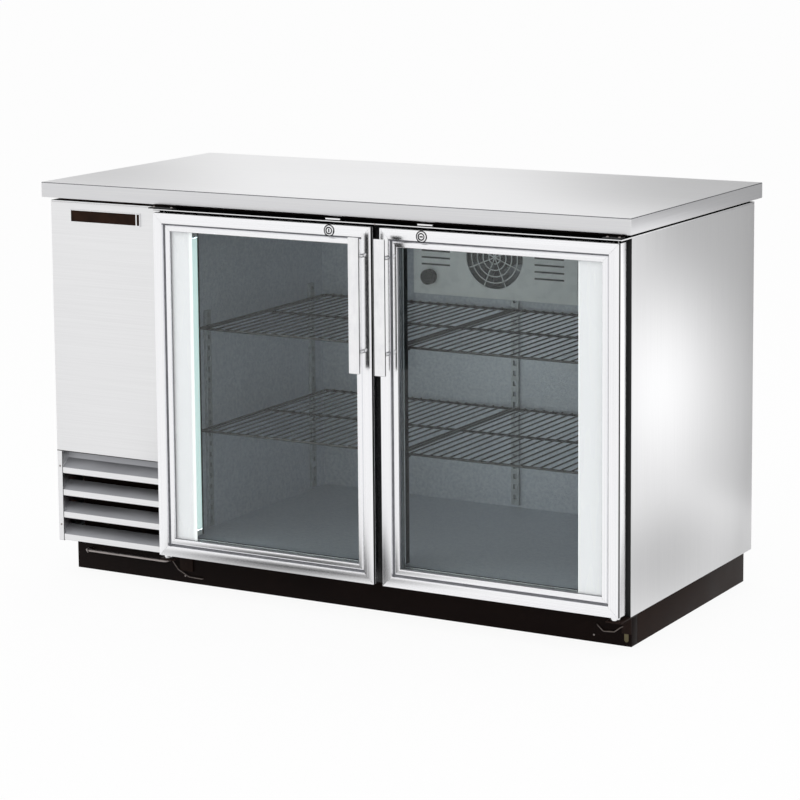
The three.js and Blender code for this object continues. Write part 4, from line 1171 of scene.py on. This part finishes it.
for node in ("left_front", "left_back", "right_front", "right_back", "centre_back"):
    low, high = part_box(f"pilaster_{node}")
    ladder = bmesh.new()
    (x0, y0), (x1, y1) = low.xy, high.xy
    if node == "centre_back":
        middle = (x0 + x1) / 2
        y1 -= PILASTER_DEPTH
        strip_low = (middle - PILASTER_WIDTH / 2, y1, low.z)
        add_ladder(ladder, strip_low, (middle + PILASTER_WIDTH / 2, high.y, high.z), 0)
    elif node.startswith("left"):
        x0 += PILASTER_DEPTH
        add_ladder(ladder, low, (x0, high.y, high.z), 1)
    else:
        x1 -= PILASTER_DEPTH
        add_ladder(ladder, (x1, low.y, low.z), high, 1)
    for z in shelf_levels:
        add_box(ladder, (x0, y0, z - CLIP_HEIGHT), (x1, y1, z))
    soften(ladder, PILASTER_EDGE, segments=1)
    make_piece(f"pilaster_{node}_ladder", ladder, [zinc], replaced=f"pilaster_{node}")
print("shelf levels", [round(z, 3) for z in shelf_levels])

# %% [markdown]
# The evaporator hides in a white cover at the top of the back wall. Its fan draws air through a round
# opening, so there is a guard of wire rings on spokes over it, and cold air leaves through slots beside,
# which are drawn as thin black vinyl patches on the cover: painted shade of the openings.

# %% Evaporator cover and fan guard
COVER_FOLD = 2 * MM
FAN_HOLE = 75 * MM
GUARD_RINGS = 5
GUARD_WIRE = 1.4 * MM
GUARD_SPOKES = 4
COVER_SLOTS = 7
SLOT_WIDTH, SLOT_RISE, SLOT_PITCH = 76 * MM, 4 * MM, 16 * MM
SLOT_FRONT, SLOT_BACK = 0.2 * MM, 0.6 * MM
SLOT_MIDDLES = (60 * MM, 72 * MM)
KNOB_CLEARANCE = 8 * MM
dress("evaporator_cover", COVER_FOLD, enamel, segments=3)
cover_low, cover_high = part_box("evaporator_cover")
fan_middle = middle_of("evaporator_fan")
hub = Vector((fan_middle.x, cover_low.y + GUARD_WIRE, fan_middle.z))
guard = bmesh.new()
for ring in range(1, GUARD_RINGS + 1):
    reach = FAN_HOLE * ring / GUARD_RINGS
    add_ring(guard, hub, X * reach, Z * reach, GUARD_WIRE, steps=40, sides=6)
for spoke in range(GUARD_SPOKES):
    angle = math.pi * (spoke + 0.5) / GUARD_SPOKES
    reach = Vector((math.cos(angle), 0, math.sin(angle))) * FAN_HOLE
    add_rod(guard, hub + Y * GUARD_WIRE - reach, hub + Y * GUARD_WIRE + reach, GUARD_WIRE, sides=6)
make_piece("evaporator_fan_guard", guard, [enamel])
# Black vinyl patches on the cover: painted shade of the slots' openings
slots = bmesh.new()
knob_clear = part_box("thermostat_knob")[1].z + KNOB_CLEARANCE
slot_top = fan_middle.z + SLOT_PITCH * (COVER_SLOTS - 1) / 2 + SLOT_RISE
for x in (cover_low.x + SLOT_MIDDLES[0], cover_high.x - SLOT_MIDDLES[1]):
    for z in (slot_top - i * SLOT_PITCH for i in range(COVER_SLOTS)):
        if x > fan_middle.x or z >= knob_clear:
            add_box(
                slots, (x - SLOT_WIDTH / 2, cover_low.y - SLOT_FRONT, z),
                (x + SLOT_WIDTH / 2, cover_low.y + SLOT_BACK, z + SLOT_RISE),
            )
make_piece("evaporator_cover_slot_shades", slots, [vinyl])
print("cover slots in each row", COVER_SLOTS)

# %% [markdown]
# Both fans have pressed blades that are twisted along their length. A blade starts as a flat grid from hub
# to tip; each row of it is turned by an angle that falls towards the tip, and it then gets its thickness.

# %% Fans
BLADE_SHEET = 1.6 * MM
BLADES = 4
ROOT_ANGLE, TIP_ANGLE = math.radians(34), math.radians(20)
# Shares of the hub's radius, of the blade's chord and of its length
HUB_SHOULDER, HUB_DOME = 0.8, 0.2
CHORD_LEAST, CHORD_SWELL = 0.72, 0.28
SWELL_RATE, SWELL_START = 0.75, 0.1
CAMBER = 0.1


def make_fan(node, hub_radius, tip_radius, chord):
    """A fan about the Y axis of its node: a domed hub and twisted blades."""
    low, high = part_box(node)
    centre, half = (low + high) / 2, (high.y - low.y) / 2
    root = hub_radius * HUB_SHOULDER
    fan = bmesh.new()
    add_turned(fan, [
        (0, -half), (root, -half), (hub_radius, -half + hub_radius * HUB_DOME),
        (hub_radius, half), (0, half),
    ], centre, Y, steps=32)
    for i in range(BLADES):
        grid = bmesh.ops.create_grid(fan, x_segments=6, y_segments=8, size=0.5)["verts"]
        for vert in grid:
            across, out = vert.co.x, vert.co.y + 0.5
            swell = math.sin(math.pi * min(out * SWELL_RATE + SWELL_START, 1))
            width = chord * (CHORD_LEAST + CHORD_SWELL * swell)
            angle = ROOT_ANGLE + (TIP_ANGLE - ROOT_ANGLE) * out
            camber = CAMBER * chord * (0.25 - across * across)
            lift = across * width * math.sin(angle) + camber
            flat = Vector((across * width * math.cos(angle), lift, root + (tip_radius - root) * out))
            vert.co = centre + Matrix.Rotation(math.tau * i / BLADES, 3, "Y") @ flat
        faces = list({face for vert in grid for face in vert.link_faces})
        bmesh.ops.solidify(fan, geom=faces, thickness=BLADE_SHEET)
    make_piece(f"{node}_blades", fan, [nylon], body_of[node], node)
    print(node, "blades", BLADES)


make_fan("evaporator_fan", 16 * MM, 68 * MM, 32 * MM)
make_fan("condenser_fan", 20 * MM, 88 * MM, 38 * MM)

# %% [markdown]
# The thermostat's knob gets rounded edges and a ring of grips.

# %% Knob
KNOB_GRIPS = 18
KNOB_EDGE = 0.8 * MM
KNOB_FACE = 3 * MM
GRIP_RADIUS, GRIP_LENGTH = 1.2 * MM, 12 * MM
knob_low, knob_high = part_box("thermostat_knob")
knob_middle = middle_of("thermostat_knob")
knob = copy_of("thermostat_knob", KNOB_EDGE)
for i in range(KNOB_GRIPS):
    angle = math.tau * i / KNOB_GRIPS
    out = Vector((math.cos(angle), 0, math.sin(angle))) * ((knob_high.z - knob_low.z) / 2 - GRIP_RADIUS)
    start = Vector((knob_middle.x, knob_low.y + KNOB_FACE, knob_middle.z)) + out
    add_rod(knob, start, start + Y * GRIP_LENGTH, GRIP_RADIUS, sides=8)
make_piece("thermostat_knob_grip", knob, [vinyl], "thermostat", "thermostat_knob")
print("knob grips", KNOB_GRIPS)

# %% [markdown]
# Behind the grille stands the condensing unit. Its condenser is a pack of thin fins on rows of tubes,
# painted black. Drawing every fin would take thousands, so they are spaced wider than real ones, and the
# tube bends show at both ends.

# %% Condenser
FIN_PITCH = 4.5 * MM
FIN_SHEET = 0.6 * MM
FIN_END = 3 * MM
TUBE_RADIUS = 4 * MM
TUBE_BEND = 6 * MM
TUBE_ROWS = 8
BEND_ROOM = 14 * MM
low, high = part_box("condenser_coil")
fin_from, fin_to = low.x + BEND_ROOM, high.x - BEND_ROOM
count = round((fin_to - fin_from) / FIN_PITCH)
middles = [fin_from + (fin_to - fin_from) * i / count for i in range(count + 1)]
sheets = [(x - FIN_SHEET / 2, x + FIN_SHEET / 2) for x in middles]
fins = bmesh.new()
for x0, x1 in [*sheets, (fin_from - FIN_END, fin_from), (fin_to, fin_to + FIN_END)]:
    add_box(fins, (x0, low.y, low.z), (x1, high.y, high.z))
make_piece("condenser_fins", fins, [paint], replaced="condenser_coil")
tubes = bmesh.new()
y = (low.y + high.y) / 2
rows = [low.z + (high.z - low.z) / TUBE_ROWS * (row + 0.5) for row in range(TUBE_ROWS)]
for z in rows:
    add_rod(tubes, (fin_from - FIN_END, y, z), (fin_to + FIN_END, y, z), TUBE_RADIUS, sides=10)
for row, (z0, z1) in enumerate(zip(rows, rows[1:])):
    x, out = (fin_to + FIN_END, 1) if row % 2 == 0 else (fin_from - FIN_END, -1)
    tip = x + out * (BEND_ROOM - FIN_END - TUBE_RADIUS)
    route = rounded_route([(x, y, z0), (tip, y, z0), (tip, y, z1), (x, y, z1)], TUBE_BEND)
    add_wire(tubes, route, TUBE_RADIUS, sides=10)
make_piece("condenser_tubes", tubes, [copper])
print("fins", count + 1, "tube rows", TUBE_ROWS)

# %% [markdown]
# The compressor is two pressed steel cups, welded round the middle, which leaves a rib. A turned profile
# with round shoulders shows that, on its foot plate.

# %% Compressor
SHELL_RADIUS = 92 * MM
FOOT = 4 * MM
WELD_RIB = 3 * MM
SHOULDER_STEPS = 8
# Shares of the shell's radius and height
BASE_SHARE, LOWER_SWELL, LOWER_SHOULDER = 0.55, 0.43, 0.22
RIB_SHARES = (0.6, 0.61, 0.64, 0.65)
CROWN_SHARE, UPPER_SWELL, UPPER_SHOULDER, UPPER_RISE = 0.5, 0.48, 0.76, 0.24
low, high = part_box("compressor")
middle = (low + high) / 2
shell_bottom = low.z + FOOT / 2
tall = high.z - shell_bottom
cup = SHELL_RADIUS - WELD_RIB
turns = [math.pi / 2 * i / SHOULDER_STEPS for i in range(SHOULDER_STEPS + 1)]
foot_radius = SHELL_RADIUS * BASE_SHARE
lower = [
    (foot_radius + cup * LOWER_SWELL * math.sin(turn), tall * LOWER_SHOULDER * (1 - math.cos(turn)))
    for turn in turns
]
rib = zip((cup, SHELL_RADIUS, SHELL_RADIUS, cup), (tall * share for share in RIB_SHARES))
upper = [
    (cup * (CROWN_SHARE + UPPER_SWELL * math.cos(turn)),
     tall * (UPPER_SHOULDER + UPPER_RISE * math.sin(turn)))
    for turn in turns
]
profile = [(0, 0), *lower, *rib, *upper, (0, tall)]
shell = bmesh.new()
add_turned(shell, profile, (middle.x, middle.y, shell_bottom), Z, steps=64)
add_box(shell, low, (high.x, high.y, low.z + FOOT))
make_piece("compressor_shell", shell, [paint], replaced="compressor")
print("compressor", round(tall, 3), "tall")

# %% [markdown]
# Small fittings finish the outside: plates and screws over the door pins, bushes under the doors, and a few
# screws in the deck, the grille and the base. Each is seated on the piece that carries it. The top pins
# pass through a plate on the deck's tongue, and the bottom pins carry a bright bush.

# %% Screws
SCREW_SIDES = 16
SCREW_CONE = 0.6
DECK_SCREW = (2.4 * MM, 1.2 * MM)
DECK_SCREW_DROP = 1.5 * MM
GRILLE_SCREW = (2.6 * MM, 1.4 * MM)
GRILLE_SCREW_INSET = 7 * MM
GRILLE_SCREW_HEIGHTS = (38 * MM, 178 * MM)
BASE_SCREW = (2.2 * MM, 1.2 * MM)
BASE_SCREW_INSETS = (305 * MM, 88 * MM)
BASE_SCREW_HEIGHT = 16 * MM


def add_screw(mesh, place, head, towards=-Y):
    """A button head screw, its radius and height given, its head pointing to the front or another way."""
    radius, height = head
    place = Vector(place)
    add_rod(mesh, place, place + towards * height, radius, SCREW_SIDES, radius * SCREW_CONE)


screws = bmesh.new()
tongue_middle = (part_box("door_frame_left")[1].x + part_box("door_frame_right")[0].x) / 2
add_screw(screws, (tongue_middle, deck_low.y, sheet_top - DECK_SCREW_DROP), DECK_SCREW)
for height in GRILLE_SCREW_HEIGHTS:
    place = (grille_low.x + GRILLE_SCREW_INSET, grille_low.y, grille_low.z + height)
    add_screw(screws, place, GRILLE_SCREW)
for x in (base_low.x + BASE_SCREW_INSETS[0], base_high.x - BASE_SCREW_INSETS[1]):
    add_screw(screws, (x, base_low.y, base_low.z + BASE_SCREW_HEIGHT), BASE_SCREW)
make_piece("front_screws", screws, [scuffed_steel])

# %% Hinge plates and bushes
PLATE_SHEET = 2.5 * MM
PLATE_DEPTH = (2 * MM, 28 * MM)
PLATE_SPAN = {"left": (-28 * MM, 34 * MM), "right": (-26 * MM, 15 * MM)}
PLATE_SCREW = (3.4 * MM, 1.8 * MM)
PLATE_SCREW_INSET = 7 * MM
BUSH_RADIUS = 10.6 * MM
BUSH_HEIGHT = 8 * MM
FITTING_EDGE = 0.5 * MM
plates, plate_screws, bushes = bmesh.new(), bmesh.new(), bmesh.new()
for side in SIDES:
    door_low, door_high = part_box(f"door_frame_{side}")
    pin_x, pin_y = middle_of(f"hinge_bracket_{side}").x, (door_low.y + door_high.y) / 2
    x0, x1 = (pin_x + reach for reach in PLATE_SPAN[side])
    y0, y1 = (deck_low.y + reach for reach in PLATE_DEPTH)
    plate_top = sheet_top + PLATE_SHEET
    add_box(plates, (x0, y0, sheet_top), (x1, y1, plate_top))
    for x in (x0 + PLATE_SCREW_INSET, x1 - PLATE_SCREW_INSET):
        add_screw(plate_screws, (x, (y0 + y1) / 2, plate_top), PLATE_SCREW, Z)
    bush_foot = (pin_x, pin_y, door_low.z - BUSH_HEIGHT)
    add_rod(bushes, bush_foot, (pin_x, pin_y, door_low.z - FIT), BUSH_RADIUS, sides=24)
soften(plates, FITTING_EDGE)
soften(bushes, FITTING_EDGE)
make_piece("top_hinge_plates", plates, [vinyl])
make_piece("top_hinge_screws", plate_screws, [scuffed_steel])
make_piece("bottom_hinge_bushes", bushes, [bright_steel])

# %% [markdown]
# A door of this kind closes by itself: a bent spring rod runs from the bottom pin to an anchor on the base.
# The rods are wires along rounded routes, whose points are places on the base's front, from its corners.

# %% Closer springs
SPRING_RADIUS = 1.4 * MM
SPRING_BEND = 5 * MM
SPRING_STAND = 4 * MM
SPRING_ROUTES = (
    # across and up, in mm, from the base's lower right corner and from its lower left corner
    (base_high.x, [(-80, 42), (-64, 28), (-38, 30), (-24, 41), (-18, 44)]),
    (base_low.x, [(269, 54), (289, 30), (319, 16), (355, 15)]),
)
ANCHOR_WIDTH, ANCHOR_HEIGHT, ANCHOR_SHEET = 10 * MM, 34 * MM, 2.5 * MM
ANCHOR_INSET, ANCHOR_FOOT = 6 * MM, 10 * MM
DISC_SINK = 0.3 * MM
springs = bmesh.new()
for corner_x, route in SPRING_ROUTES:
    places = [Vector((corner_x + x * MM, base_low.y - SPRING_STAND, base_low.z + z * MM)) for x, z in route]
    ends = [places[i] + Y * SPRING_STAND for i in (0, -1)]
    add_wire(springs, rounded_route([ends[0], *places, ends[1]], SPRING_BEND), SPRING_RADIUS, sides=10)
make_piece("closer_springs", springs, [spring_steel])
anchor = bmesh.new()
half = ANCHOR_WIDTH / 2
x, y = base_high.x - ANCHOR_INSET - half, base_low.y
z0 = base_low.z + ANCHOR_FOOT + half
z1 = z0 + ANCHOR_HEIGHT - ANCHOR_WIDTH
for z in (z0, z1):
    add_rod(anchor, (x, y, z), (x, y - ANCHOR_SHEET + DISC_SINK, z), half, sides=24)
add_box(anchor, (x - half, y - ANCHOR_SHEET, z0), (x + half, y, z1))
make_piece("spring_anchor", anchor, [olive_zinc])
print("springs", len(SPRING_ROUTES))

# %% Sizes and finish
boxes = {"cad": [list(corner) for corner in cad_box], "visual": [list(corner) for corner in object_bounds()]}
for label, corners in boxes.items():
    print(label, [[round(value, 4) for value in corner] for corner in corners])
